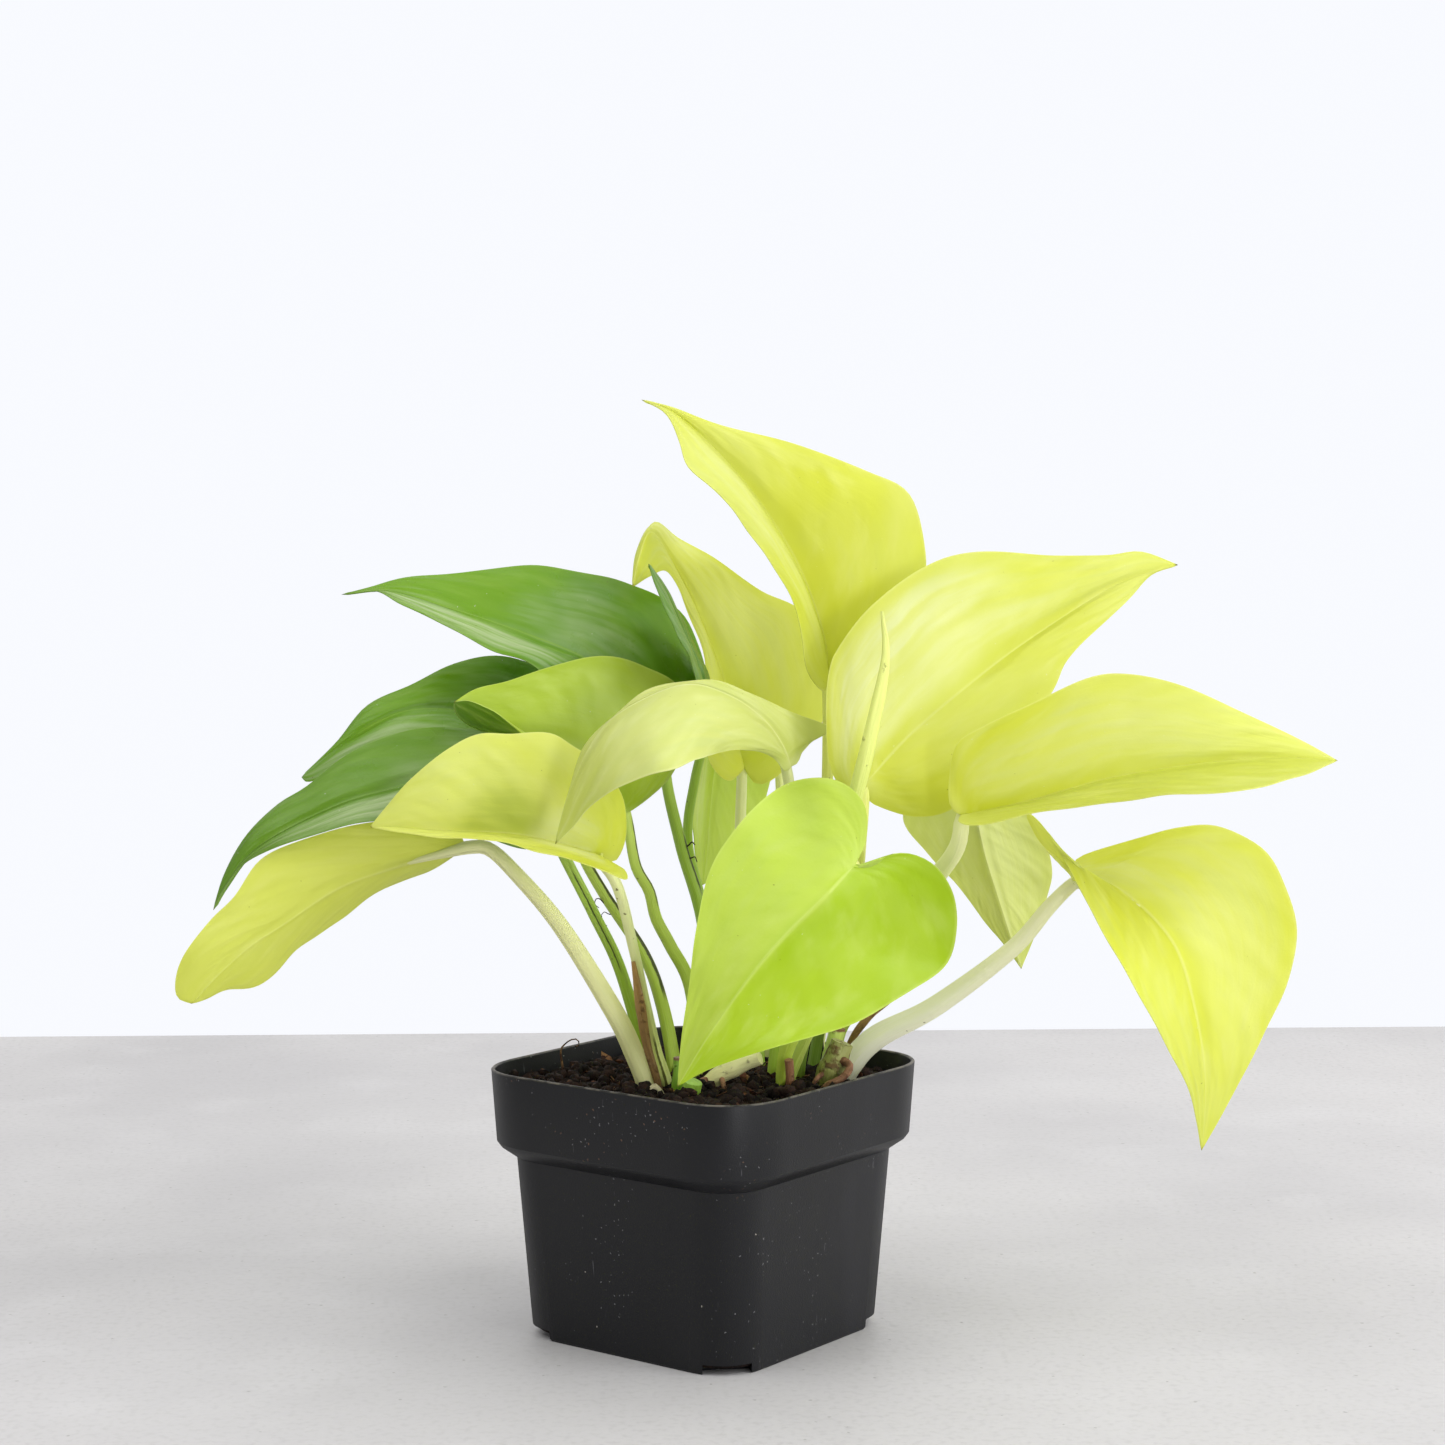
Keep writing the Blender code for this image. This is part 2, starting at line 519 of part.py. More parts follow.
def add_stem(name, stem):
    made = tube(name, *stem_shape(stem), STEM_SIDES, stem["kind"])
    roots = [tube(name + "_root", *root_shape(*root), ROOT_SIDES, "sheath") for root in stem.get("roots", ())]
    if roots:
        combine(made, roots, "UNION")
    return made


def rounded_square(half, corner, height):
    """The outline of a turned rounded square at this height."""
    points = []
    for quarter in range(4):
        middle = math.pi / 4 + quarter * math.pi / 2
        sign_x = math.copysign(1, math.cos(middle))
        sign_y = math.copysign(1, math.sin(middle))
        for step in range(CORNER_STEPS + 1):
            angle = middle - math.pi / 4 + step * math.pi / 2 / CORNER_STEPS
            x = sign_x * (half - corner) + corner * math.cos(angle)
            y = sign_y * (half - corner) + corner * math.sin(angle)
            points.append((x, y, height))
    flat = np.array(points)
    cos_turn, sin_turn = math.cos(POT_TURN), math.sin(POT_TURN)
    x = flat[:, 0] * cos_turn - flat[:, 1] * sin_turn
    y = flat[:, 0] * sin_turn + flat[:, 1] * cos_turn
    return np.stack([x, y, flat[:, 2]], axis=1)


def stacked(name, rings, kind):
    """A closed solid through a list of outlines, capped at both ends."""
    size = len(rings[0])
    faces = [tuple(range(size))]
    for level in range(len(rings) - 1):
        for corner in range(size):
            here = level * size + corner
            beside = level * size + (corner + 1) % size
            faces.append((here, beside, beside + size, here + size))
    faces.append(tuple(range((len(rings) - 1) * size, len(rings) * size)))
    return add_object(name, mesh_from(name, np.vstack(rings), faces), kind)


def corner_place(quarter, reach):
    """A point this far from the middle towards one corner of the pot."""
    angle = POT_TURN + math.pi / 4 + quarter * math.pi / 2
    return reach * math.cos(angle), reach * math.sin(angle), angle


def cutter_box(name, size, place, angle):
    bpy.ops.mesh.primitive_cube_add(size=1.0, location=tuple(np.array(place) * MM), rotation=(0, 0, angle))
    box = bpy.context.object
    box.name = name
    box.scale = tuple(np.array(size) * MM)
    return box


def add_pot():
    inner_rim = RIM_HALF - WALL
    outside = [
        (BASE_HALF - FOOT_INSET, BASE_CORNER - FOOT_INSET, 0.0),
        (BASE_HALF, BASE_CORNER, FOOT_HEIGHT),
        (BODY_HALF, BODY_CORNER, BODY_TOP),
        (RIM_HALF - COLLAR_TAPER - STEP_INSET, RIM_CORNER - STEP_INSET, COLLAR_BOTTOM - STEP_HEIGHT),
        (RIM_HALF - COLLAR_TAPER, RIM_CORNER, COLLAR_BOTTOM),
        (RIM_HALF, RIM_CORNER, POT_HEIGHT - LIP),
    ]
    inside = [
        (RIM_HALF - LIP, RIM_CORNER - LIP, POT_HEIGHT),
        (inner_rim + LIP, RIM_CORNER - WALL + LIP, POT_HEIGHT),
        (inner_rim, RIM_CORNER - WALL, POT_HEIGHT - LIP),
        (inner_rim - COLLAR_TAPER, RIM_CORNER - WALL, COLLAR_BOTTOM + INNER_STEP_RISE),
        (BODY_HALF - WALL, BODY_CORNER - WALL, BODY_TOP - INNER_STEP_DROP),
        (BASE_HALF - WALL, BASE_CORNER - WALL, FLOOR),
    ]
    pot = stacked("pot", [rounded_square(*ring) for ring in outside + inside], "pot")
    cutters = []
    corner_reach = math.sqrt(2) * (BASE_HALF - BASE_CORNER) + BASE_CORNER
    for quarter in range(4):
        x, y, angle = corner_place(quarter, corner_reach - SLOT_DEPTH / 2 + SLOT_OUT)
        size = (SLOT_DEPTH, SLOT_CHORDS[quarter % 2], 2 * SLOT_HEIGHT)
        cutters.append(cutter_box("slot", size, (x, y, 0.0), angle))
        x, y, angle = corner_place(quarter + 0.5, DRAIN_REACH)
        bpy.ops.mesh.primitive_cylinder_add(
            vertices=DRAIN_SIDES, radius=DRAIN_RADIUS * MM, depth=4 * FLOOR * MM,
            location=(x * MM, y * MM, 0),
        )
        cutters.append(bpy.context.object)
    combine(pot, cutters, "DIFFERENCE")
    return pot


def soil_height(x, y):
    height = SOIL_LEVEL - SOIL_FALL * y + SOIL_CROWN * math.exp(-(x * x + y * y) / CROWN_SPREAD)
    for rise, first, second in CLUMPS:
        across = math.sin(first[0] * x + first[1] * y + first[2])
        height += rise * across * math.cos(second[0] * x + second[1] * y + second[2])
    return height


def soil_rings():
    """Outlines from the bottom of the soil up its sides and inward over its top."""
    gap = WALL + CLEARANCE
    depth_share = (POT_HEIGHT - SOIL_LEVEL) / (POT_HEIGHT - COLLAR_BOTTOM)
    top_half = RIM_HALF - gap - COLLAR_TAPER * depth_share
    rings = [
        rounded_square(BASE_HALF - gap, BASE_CORNER - gap, FLOOR + CLEARANCE),
        rounded_square(BODY_HALF - gap, BODY_CORNER - gap, BODY_TOP),
        rounded_square(RIM_HALF - gap - COLLAR_TAPER, RIM_CORNER - gap, COLLAR_BOTTOM + SOIL_SHOULDER),
    ]
    edge = rounded_square(top_half, RIM_CORNER - gap, SOIL_LEVEL)
    for ring in range(SOIL_RINGS):
        share = 1 - ring / SOIL_RINGS
        loop = edge * (share, share, 1)
        for point in loop:
            point[2] = soil_height(point[0], point[1])
        rings.append(loop)
    return rings


def hole_cutter(name, path, radii, sides):
    """The plain hole that a stalk or stem stands in, a little wider and deeper than it."""
    deeper = path[0] - unit(path[1] - path[0]) * CLEARANCE
    route = np.vstack([deeper, path])
    wide = np.append(radii[:1], radii) + HOLE_GAP
    return tube(name, route, wide, sides, "soil")


def add_soil():
    soil = stacked("soil", soil_rings(), "soil")
    holes = []
    for name, leaf in LEAVES.items():
        path, radii = stalk_path(leaf), stalk_radii(leaf)
        inside = int(np.argmax(path[:, 2] > HOLE_TOP)) + 1
        holes.append(hole_cutter(name + "_hole", path[:inside], radii[:inside], STALK_SIDES))
    for name, stem in STEMS.items():
        holes.append(hole_cutter(name + "_hole", *stem_shape(stem), STEM_SIDES))
        for root in stem.get("roots", ()):
            path, radii = root_shape(*root)
            holes.append(hole_cutter(name + "_root_hole", path[::-1], radii[::-1], ROOT_SIDES))
    combine(soil, holes, "DIFFERENCE")
    return soil


def main():
    clear_scene()
    add_pot()
    add_soil()
    for name, leaf in LEAVES.items():
        add_leaf(name, leaf)
    for name, stem in STEMS.items():
        add_stem(name, stem)


main()
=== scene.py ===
import math

import bmesh
import bpy
import numpy as np
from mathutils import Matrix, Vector, noise


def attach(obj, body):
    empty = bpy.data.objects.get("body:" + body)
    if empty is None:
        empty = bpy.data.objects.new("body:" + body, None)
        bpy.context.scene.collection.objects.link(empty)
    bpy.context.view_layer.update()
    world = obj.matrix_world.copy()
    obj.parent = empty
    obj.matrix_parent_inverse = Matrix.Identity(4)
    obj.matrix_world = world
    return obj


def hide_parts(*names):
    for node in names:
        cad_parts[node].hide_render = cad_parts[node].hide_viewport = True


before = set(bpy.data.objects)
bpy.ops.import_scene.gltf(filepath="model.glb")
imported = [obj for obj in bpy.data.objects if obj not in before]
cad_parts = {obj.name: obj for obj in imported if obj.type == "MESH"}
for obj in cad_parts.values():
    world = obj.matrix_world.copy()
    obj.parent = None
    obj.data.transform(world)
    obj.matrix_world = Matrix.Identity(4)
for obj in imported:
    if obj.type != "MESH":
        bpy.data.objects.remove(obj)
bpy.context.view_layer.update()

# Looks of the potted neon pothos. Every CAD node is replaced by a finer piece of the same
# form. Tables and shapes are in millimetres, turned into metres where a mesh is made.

MM = 0.001
SEED = 7

# Camera and light, in metres and degrees
CAMERA_PLACE = (0.0053, -0.838, 0.239)
CAMERA_TILT = 85.94
CAMERA_FOCUS = 2875.0
IMAGE_SIDE = 1445.0
SENSOR = 36.0
WORLD_SEEN = (0.975, 0.982, 1.0)
WORLD_TOWARD = (0.50, 0.70, 0.40)
WORLD_LOW = 0.30
WORLD_HIGH = 1.06
LAMPS = {
    "key_right": dict(place=(1.5, -0.75, 1.15), size=(1.7, 1.7), power=29.0),
    "fill_left": dict(place=(-0.8, -0.7, 1.8), size=(1.4, 1.4), power=15.0),
    "front_strip": dict(place=(0.66, -1.5, 0.16), size=(0.2, 0.5), power=6.0),
    "top_back": dict(place=(0.4, 0.9, 1.6), size=(1.8, 1.8), power=3.0),
}
LAMP_TARGET = (0.0, 0.0, 0.12)

# Floor: its far edge shows as the horizon behind the pot
FLOOR_EDGE = 0.49
FLOOR_TURN = 2.3
FLOOR_SIDE = 6.0

# Pot, a rounded square turned about Z
RIM_HALF = 50.0
RIM_CORNER = 19.3
POT_HEIGHT = 79.0
COLLAR_BOTTOM = 57.7
COLLAR_TAPER = 1.1
BODY_HALF = 42.8
BODY_CORNER = 12.6
BODY_TOP = 52.8
BASE_HALF = 39.8
BASE_CORNER = 13.4
WALL = 1.2
FLOOR = 1.6
LIP = 0.4
FOOT_INSET = 0.5
FOOT_HEIGHT = 0.7
STEP_INSET = 1.2
STEP_HEIGHT = 1.6
INNER_STEP_RISE = 0.6
INNER_STEP_DROP = 0.2
POT_TURN = math.radians(52.8)
CORNER_STEPS = 30
CORNER_EASE = 1.26
FLAT_SHARES = (0.03, 0.08, 0.2, 0.4, 0.6, 0.8, 0.92, 0.97)
SLOT_HEIGHT = 3.0
SLOT_CHORDS = (14.0, 19.0)
SLOT_DEPTH = 9.0
SLOT_OUT = 2.0
DRAIN_RADIUS = 4.0
DRAIN_REACH = 20.0
POT_BEVEL = 0.35

# Soil and what lies on it
CLEARANCE = 0.3
SOIL_LEVEL = 73.5
SOIL_FALL = 0.04
SOIL_CROWN = 2.0
CROWN_SPREAD = 1400.0
SOIL_SHOULDER = 0.9
CLUMPS = (
    (0.78, (0.31, 0.17, 0.0), (-0.12, 0.27, 0.0)),
    (0.65, (0.74, 0.0, -0.3), (0.2, 0.69, -1.17)),
)
GRAIN_HEIGHT = 0.9
# How far, in metres, and how finely the round marks of a pattern are pushed about
SPECK_SHAKE = 0.0012
SHAKE_SCALE = 900.0
SOIL_SPOKES = 180
SOIL_STEPS = 62
CRUMBS = 1000
CHUNKS = 60
CHIPS = 80
FIBRES = 150

# Blades and stalks
BLADE = 0.62
EDGE_SHARE = 0.45
FAN_ROWS = 14
LENGTH_ROWS = 50
HALF_COLUMNS = 14
COLUMN_POWER = 1.4
FAN_SHARE = 0.24
FAN_RIB_SHARE = 0.07
RIPPLE = 0.28
GROOVE_DEPTH = 0.12
GROOVE_WIDTH = 0.8
STALK_SIDES = 18
STALK_SEGMENTS = 48
RIB_ROOT_SHARE = 0.30
RIB_ROOT_ROWS = 12
HAIR_ROWS = 14
HAIR_SIDES = 6
WING_NARROWS = 0.6
JOINT_REACH = 6.0
RIGHT = np.array((1.0, 0.0, 0.0))
RIB_TIP_RADIUS = 0.22
STEM_SIDES = 18
STEM_SEGMENTS = 40
ROOT_TAPER = 0.6

# Fine dry hair roots: the piece each belongs to, its radius and its route
HAIRS = (
    ("leaf_green_middle", 0.22,
     ((-27.8, 9.6, 124.2), (-29.6, 9, 124.9), (-31, 8.2, 126.5), (-32.2, 8, 126.5), (-32.5, 8, 125),
      (-31.3, 8.4, 123.8))),
    ("leaf_green_middle", 0.18,
     ((-26.9, 9.4, 121.6), (-28.4, 8.8, 121.9), (-29.8, 8.2, 122.6), (-31, 8.2, 121.1))),
    ("leaf_green_top", 0.30,
     ((-5.6, 18, 140.9), (-4.7, 17.2, 141.6), (-3.8, 16, 142.6), (-2.9, 15, 141.8))),
    ("leaf_green_top", 0.25,
     ((-5, 18.4, 137.5), (-4.1, 17.6, 137.6), (-2.9, 16, 138.1), (-2.3, 15, 136.7))),
    ("leaf_green_low", 0.20,
     ((-28.2, -11.6, 121.3), (-29.3, -11.5, 121.8), (-29.9, -11.8, 122.7), (-29.6, -12.2, 124.3))),
)
# One root that curls over the pot's rim
RIM_ROOT = ((-42.2, 11, 74.2), (-43.1, 13, 80.0), (-41.6, 15, 82.1), (-39.5, 15, 83.3), (-38, 15, 83),
            (-37.7, 14, 81.7), (-38.9, 14, 81.1))

# Each leaf: colour kind, stalk radii from the soil to the blade, how far each half domes, then
# curves from the stalk's end to the tip: the midrib and both margins round their lobes. The
# petiole runs from inside the soil to the blade
LEAVES = {
    "leaf_top": dict(
        kind="neon", stalk=(1.6, 1.9, 1.8, 1.6), cup=(0.05, 0.08),
        rib=((37, 20, 192), (35, 17, 205), (28, 13, 224), (18, 9, 241), (7, 5, 255), (-8, -2, 269),
             (-18, -8, 273)),
        left=((35, 11, 188), (30, 7, 195), (27, 7, 212), (16, -1, 231), (5, -10, 245), (-4, -14, 253),
              (-7, -9, 261), (-11, -5, 269)),
        right=((42, 22, 185), (51, 24, 186), (60, 25, 200), (65, 24, 215), (66, 24, 229),
               (61, 22, 246), (48, 17, 253), (26, 11, 261), (5, 4, 266), (-9, -3, 271)),
        petiole=((31, 10, 60), (32, 10, 74), (35, 14, 95), (36, 22, 130), (37, 26, 163)),
    ),
    "leaf_back_curled": dict(
        kind="neon", stalk=(2.4, 1.6), cup=(0.06, 0.06),
        rib=((12, 46, 162), (9, 46, 174), (5, 42, 192), (-3, 34, 213), (-11, 24, 228), (-16, 14, 235),
             (-19, 6, 228), (-21, 2, 219)),
        left=((7, 37, 159), (1, 32, 166), (-2, 33, 181), (0, 36, 195), (-6, 31, 213), (-11, 20, 223),
              (-16, 10, 222)),
        right=((16, 48, 157), (23, 49, 160), (35, 53, 173), (37, 53, 186), (34, 50, 200),
               (29, 47, 211), (17, 41, 217), (3, 32, 227), (-8, 32, 233), (-15, 23, 238),
               (-20, 12, 229)),
        petiole=((17, 23, 60), (16, 24, 74), (14, 30, 93), (11, 42, 128), (11, 46, 148)),
    ),
    "leaf_upper_right": dict(
        kind="neon", stalk=(1.7, 2.0, 1.8, 1.6), cup=(0.07, 0.05),
        rib=((46, -24, 164), (58, -16, 176), (73, -8, 188), (93, 4, 202), (120, 18, 218),
             (134, 26, 223), (143, 32, 225)),
        left=((42, -23, 160), (36, -22, 168), (35, -17, 183), (36, -11, 195), (39, -8, 202),
              (48, -2, 213), (63, 6, 224), (79, 11, 229), (105, 18, 228), (120, 22, 228),
              (131, 27, 229)),
        right=((46, -23, 160), (50, -22, 157), (61, -21, 154), (72, -22, 157), (88, -17, 170),
               (101, -6, 189), (107, 1, 199), (125, 16, 214), (134, 26, 222)),
        petiole=((27, -3, 60), (27.5, -4, 75), (29.5, -6, 88), (36, -10, 108), (43, -16, 130),
                 (45, -22, 150)),
    ),
    "leaf_right": dict(
        kind="neon", stalk=(2.3, 2.4, 2.6, 2.8, 2.6, 2.2), cup=(0.07, 0.00),
        rib=((72, -36, 156), (89, -41, 160), (112, -45, 167), (134, -47, 171), (157, -46, 173),
             (176, -43, 172)),
        left=((69, -36, 159), (69, -35, 167), (71, -35, 176), (78, -37, 181), (92, -40, 188),
              (107, -42, 195), (118, -43, 196), (132, -45, 193), (148, -45, 186), (165, -44, 178)),
        right=((71, -45, 155), (77, -51, 155), (97, -58, 160), (119, -69, 164), (132, -76, 166),
               (145, -75, 167), (161, -62, 169)),
        petiole=((39, 13, 60), (39, 13, 76), (40, 11, 87), (47, 4, 99), (63, -18, 131), (71, -32, 146)),
    ),
    "leaf_far_right": dict(
        underside=True, kind="neon", stalk=(2.8, 3.4, 3.4, 3.0, 2.8, 2.5, 2.2, 1.9), cup=(0.06, 0.06),
        rib=((105, -30, 138), (113, -36, 137), (122, -42, 131), (131, -47, 120), (136, -50, 103),
             (139, -50, 84), (139, -46, 63)),
        left=((100, -35, 142), (94, -35, 149), (90, -38, 157), (95, -39, 153), (102, -37, 142),
              (111, -50, 124), (119, -60, 109), (127, -58, 95), (134, -53, 82), (137, -49, 72)),
        right=((105, -28, 142), (110, -29, 145), (123, -30, 149), (134, -31, 152), (146, -29, 152),
               (158, -30, 146), (164, -32, 136), (167, -34, 123), (164, -39, 110), (157, -43, 96),
               (145, -46, 74)),
        petiole=((40, -3, 60), (40, -3, 72), (43.5, -4, 80), (51, -6, 88), (67, -13, 98),
                 (88, -22, 116), (98, -27, 129)),
    ),
    "leaf_back_right": dict(
        kind="pale", stalk=(2.0, 1.1), cup=(0.06, 0.06),
        rib=((80, 33, 154), (83, 34, 147), (86, 38, 135), (92, 39, 116), (97, 37, 101)),
        left=((73, 36, 156), (64, 39, 154), (61, 41, 146), (71, 43, 133), (78, 42, 126), (86, 41, 115),
              (92, 39, 108)),
        right=((85, 35, 158), (95, 39, 156), (101, 41, 147), (105, 44, 140), (107, 45, 131),
               (106, 45, 123), (102, 41, 112)),
        petiole=((34, 23, 60), (34, 23, 77), (37, 24, 90), (53, 30, 108), (72, 41, 127),
                 (75, 46, 146), (77, 43, 154), (79, 38, 157)),
    ),
    "leaf_front_heart": dict(
        underside=True, kind="lime", stalk=(1.5, 1.5, 2.4, 2.2, 1.9, 1.7, 1.6), cup=(0.05, 0.05),
        rib=((42, -50, 144), (32, -60, 135), (23, -65, 127), (13, -69, 116), (1, -70, 99),
             (-7, -66, 85)),
        left=((45, -47, 150), (45, -44, 159), (40, -42, 165), (32, -41, 167), (21, -39, 164),
              (10, -48, 155), (2, -55, 143), (-2, -62, 127), (-4, -65, 111), (-6, -67, 97)),
        right=((47, -48, 143), (51, -47, 146), (58, -44, 146), (65, -42, 142), (70, -40, 134),
               (71, -38, 124), (68, -39, 114), (57, -47, 108), (40, -56, 100), (18, -64, 95),
               (2, -66, 90)),
        petiole=((22, -16, 60), (22, -17, 74), (23.5, -20, 86), (28, -25, 98), (36, -33, 117), (40, -37, 135),
                 (42, -43, 143)),
    ),
    "leaf_arching": dict(
        kind="pale", stalk=(2.2, 2.0, 1.8, 1.6), cup=(0.05, 0.00),
        rib=((25, -17, 168), (22, -21, 175), (17, -26, 182), (8, -34, 189), (-4, -42, 193),
             (-17, -50, 189), (-28, -56, 181), (-36, -61, 165), (-40, -64, 151)),
        left=((23, -20, 167), (20.5, -24, 170.5), (17, -30, 173), (12, -38, 174.5), (5, -50, 175),
              (-7, -77, 173), (-17, -77, 170), (-29, -70, 163), (-35, -66, 156)),
        right=((27, -14, 169), (29, -8, 172.5), (34, -1, 176), (38.5, 5, 177), (34.5, 2, 179),
               (30, -3, 181), (22, -14, 185), (12, -26, 190), (0, -35, 194), (-15, -44, 192),
               (-24, -51, 185), (-33, -53, 176), (-37, -59, 163)),
        petiole=((20, -2, 60), (20.5, -3, 76), (22.5, -6, 99), (24.5, -12, 135), (25, -15, 158)),
    ),
    "leaf_front_left": dict(
        kind="neon", stalk=(2.2, 2.1, 1.6, 1.4, 1.5, 1.6, 1.6), cup=(0.00, 0.08),
        rib=((-29, -38, 145), (-40, -44, 149), (-53, -48, 152), (-70, -50, 153), (-84, -50, 154),
             (-92, -48, 154)),
        left=((-26, -42, 143), (-22, -46, 142), (-21, -51, 140), (-26, -55, 142), (-36, -58, 146),
              (-54, -60, 151), (-68, -58, 152), (-83, -53, 153)),
        right=((-25, -36, 143), (-22, -35, 149), (-22, -33, 157), (-24, -32, 163), (-29, -34, 170),
               (-36, -34, 175), (-43, -36, 179), (-54, -38, 179), (-63, -39, 179), (-71, -42, 175),
               (-81, -45, 167), (-88, -47, 159)),
        petiole=((-10.5, -17, 60), (-11, -18, 75), (-13.8, -20, 86), (-16.3, -24, 99), (-20, -30, 118),
                 (-24, -36, 136)),
    ),
    "leaf_lime_left": dict(
        kind="lime", stalk=(2.2, 1.5), cup=(0.06, 0.06),
        rib=((-22, -8, 154), (-30, -14, 165), (-41, -18, 173), (-53, -20, 177), (-60, -20, 178),
             (-66, -20, 180), (-70, -21, 183), (-71, -22, 187)),
        left=((-25, -12, 154), (-32, -17, 156), (-40, -22, 164), (-47, -26, 172), (-53, -28, 179.5),
              (-58, -28, 184), (-63, -27, 186.5), (-67, -25, 187.5)),
        right=((-16, -3, 158), (-9, 1, 165), (-4, 5, 177), (-8, 5, 190), (-18, 3, 196), (-29, -2, 199),
               (-42, -8, 197), (-56, -14, 192.5), (-65, -18, 190.5)),
        petiole=((0, -9, 60), (-1, -8, 76), (-4, -6, 102), (-10, -7, 115), (-14, -8, 123), (-16, -8, 131),
                 (-20, -8, 139)),
    ),
    "leaf_green_top": dict(
        kind="green", stalk=(2.4, 1.6), cup=(0.04, 0.06),
        rib=((-11, 10, 172), (-19, 6, 186), (-33, 2, 197), (-54, -1, 206), (-74, -4, 213),
             (-91, -6, 218), (-105, -6, 217)),
        left=((-15, 5, 169), (-25, -3, 172), (-36, -8, 183), (-49, -7, 196), (-61, -9, 201),
              (-74, -9, 208), (-87, -9, 214), (-95, -6, 218)),
        right=((-4, 16, 173), (0, 23, 183), (0, 25, 194), (-5, 29, 208), (-13, 27, 215),
               (-22, 24, 219), (-32, 22, 222), (-50, 16, 225), (-72, 6, 223), (-86, -1, 222),
               (-97, -5, 219)),
        petiole=((0, 16, 60), (0, 17, 76), (0, 20, 114), (-7, 18, 141), (-11, 12, 160)),
    ),
    "leaf_green_middle": dict(
        kind="green", stalk=(2.2, 1.5), cup=(0.06, 0.06),
        rib=((-39, 14, 155), (-49, 10, 171), (-66, 5, 181), (-86, 0, 183), (-103, -4, 175),
             (-117, -6, 164)),
        left=((-44, 7, 152), (-57, -4, 157), (-73, -15, 165), (-87, -15, 168), (-102, -11, 167),
              (-114, -9, 163)),
        right=((-31, 19, 156), (-27, 25, 169), (-33, 24, 184), (-46, 22, 193), (-61, 18, 198),
               (-74, 13, 196), (-87, 6, 190), (-99, 2, 184), (-107, -3, 174), (-115, -5, 166)),
        petiole=((-8.5, 3, 60), (-9, 4, 76), (-12.5, 5, 95), (-18, 7, 110), (-30, 10, 128), (-37, 13, 141)),
    ),
    "leaf_green_low": dict(
        kind="green", stalk=(1.9, 1.8, 1.6), cup=(0.06, 0.06),
        rib=((-44, -16, 154), (-55, -21, 164), (-71, -25, 167), (-87, -29, 163), (-104, -32, 158),
             (-125, -34, 147), (-134, -35, 136), (-138, -35, 129)),
        left=((-41, -25, 149), (-49, -32, 146), (-62, -45, 151), (-76, -44, 155), (-93, -41, 155),
              (-114, -38, 149), (-128, -35, 143), (-134, -36, 136)),
        right=((-37, -8, 156), (-36, -2, 167), (-48, -7, 176), (-64, -12, 178), (-78, -14, 179),
               (-90, -15, 177), (-101, -19, 172), (-113, -24, 163), (-121, -26, 158), (-129, -30, 150),
               (-135, -33, 139)),
        petiole=((-15, -8, 60), (-16, -8, 76), (-24, -10, 107), (-32, -12, 125), (-41, -15, 144)),
    ),
    "leaf_far_left": dict(
        underside=True, kind="neon", stalk=(2.7, 2.9, 2.9, 2.6, 2.3, 2.0), cup=(0.06, 0.06),
        rib=((-69, -18, 146), (-76, -22, 144), (-91, -28, 140), (-104, -31, 135), (-119, -33, 125),
             (-128, -34, 119), (-138, -34, 110), (-145, -32, 102)),
        left=((-72, -13, 142), (-80, -9, 137), (-93, -10, 132), (-106, -14, 123), (-116, -18, 116),
              (-127, -22, 106), (-136, -26, 105), (-141, -29, 103)),
        right=((-72, -19, 149), (-82, -24, 153), (-97, -30, 153), (-115, -33, 148), (-125, -34, 143),
               (-132, -35, 133), (-139, -35, 126), (-146, -35, 117), (-149, -33, 110),
               (-149, -32, 104)),
        petiole=((-15.5, -21, 60), (-16.3, -21.5, 75), (-20, -22.5, 86), (-26, -24, 99), (-41, -23, 123),
                 (-54, -21, 138), (-62, -19, 145)),
    ),
    "leaf_green_upright": dict(
        kind="green", stalk=(2.0, 1.4), cup=(0.06, 0.06),
        rib=((1, 9, 186), (-2, 5, 195), (-7, 0, 207), (-11, -5, 217), (-16, -9, 226)),
        left=((-1, -3, 185), (-3, -11, 195), (-8, -15, 207), (-13, -13, 217)),
        right=((3, 19, 183), (0, 21, 194), (-5, 15, 205), (-11, 3, 218)),
        petiole=((1, 26, 60), (1, 26, 76), (0.5, 28, 114), (-5, 27, 141), (-3, 23, 160),
                 (1, 14, 177)),
    ),
    "leaf_back_hanging": dict(
        kind="pale", stalk=(2.0, 1.4), cup=(0.06, 0.06),
        rib=((7, 60, 182), (3, 64, 166), (1, 66, 150), (0, 64, 135), (-1, 60, 124)),
        left=((3, 54, 185), (0, 53, 178), (-3, 57, 161), (-4, 57, 145), (-3, 58, 132)),
        right=((12, 66, 185), (19, 72, 177), (21, 81, 159), (16, 79, 139), (5, 66, 127)),
        petiole=((20, 34, 60), (20, 35, 74), (23, 50, 111), (23, 66, 163), (15, 65, 182)),
    ),
}

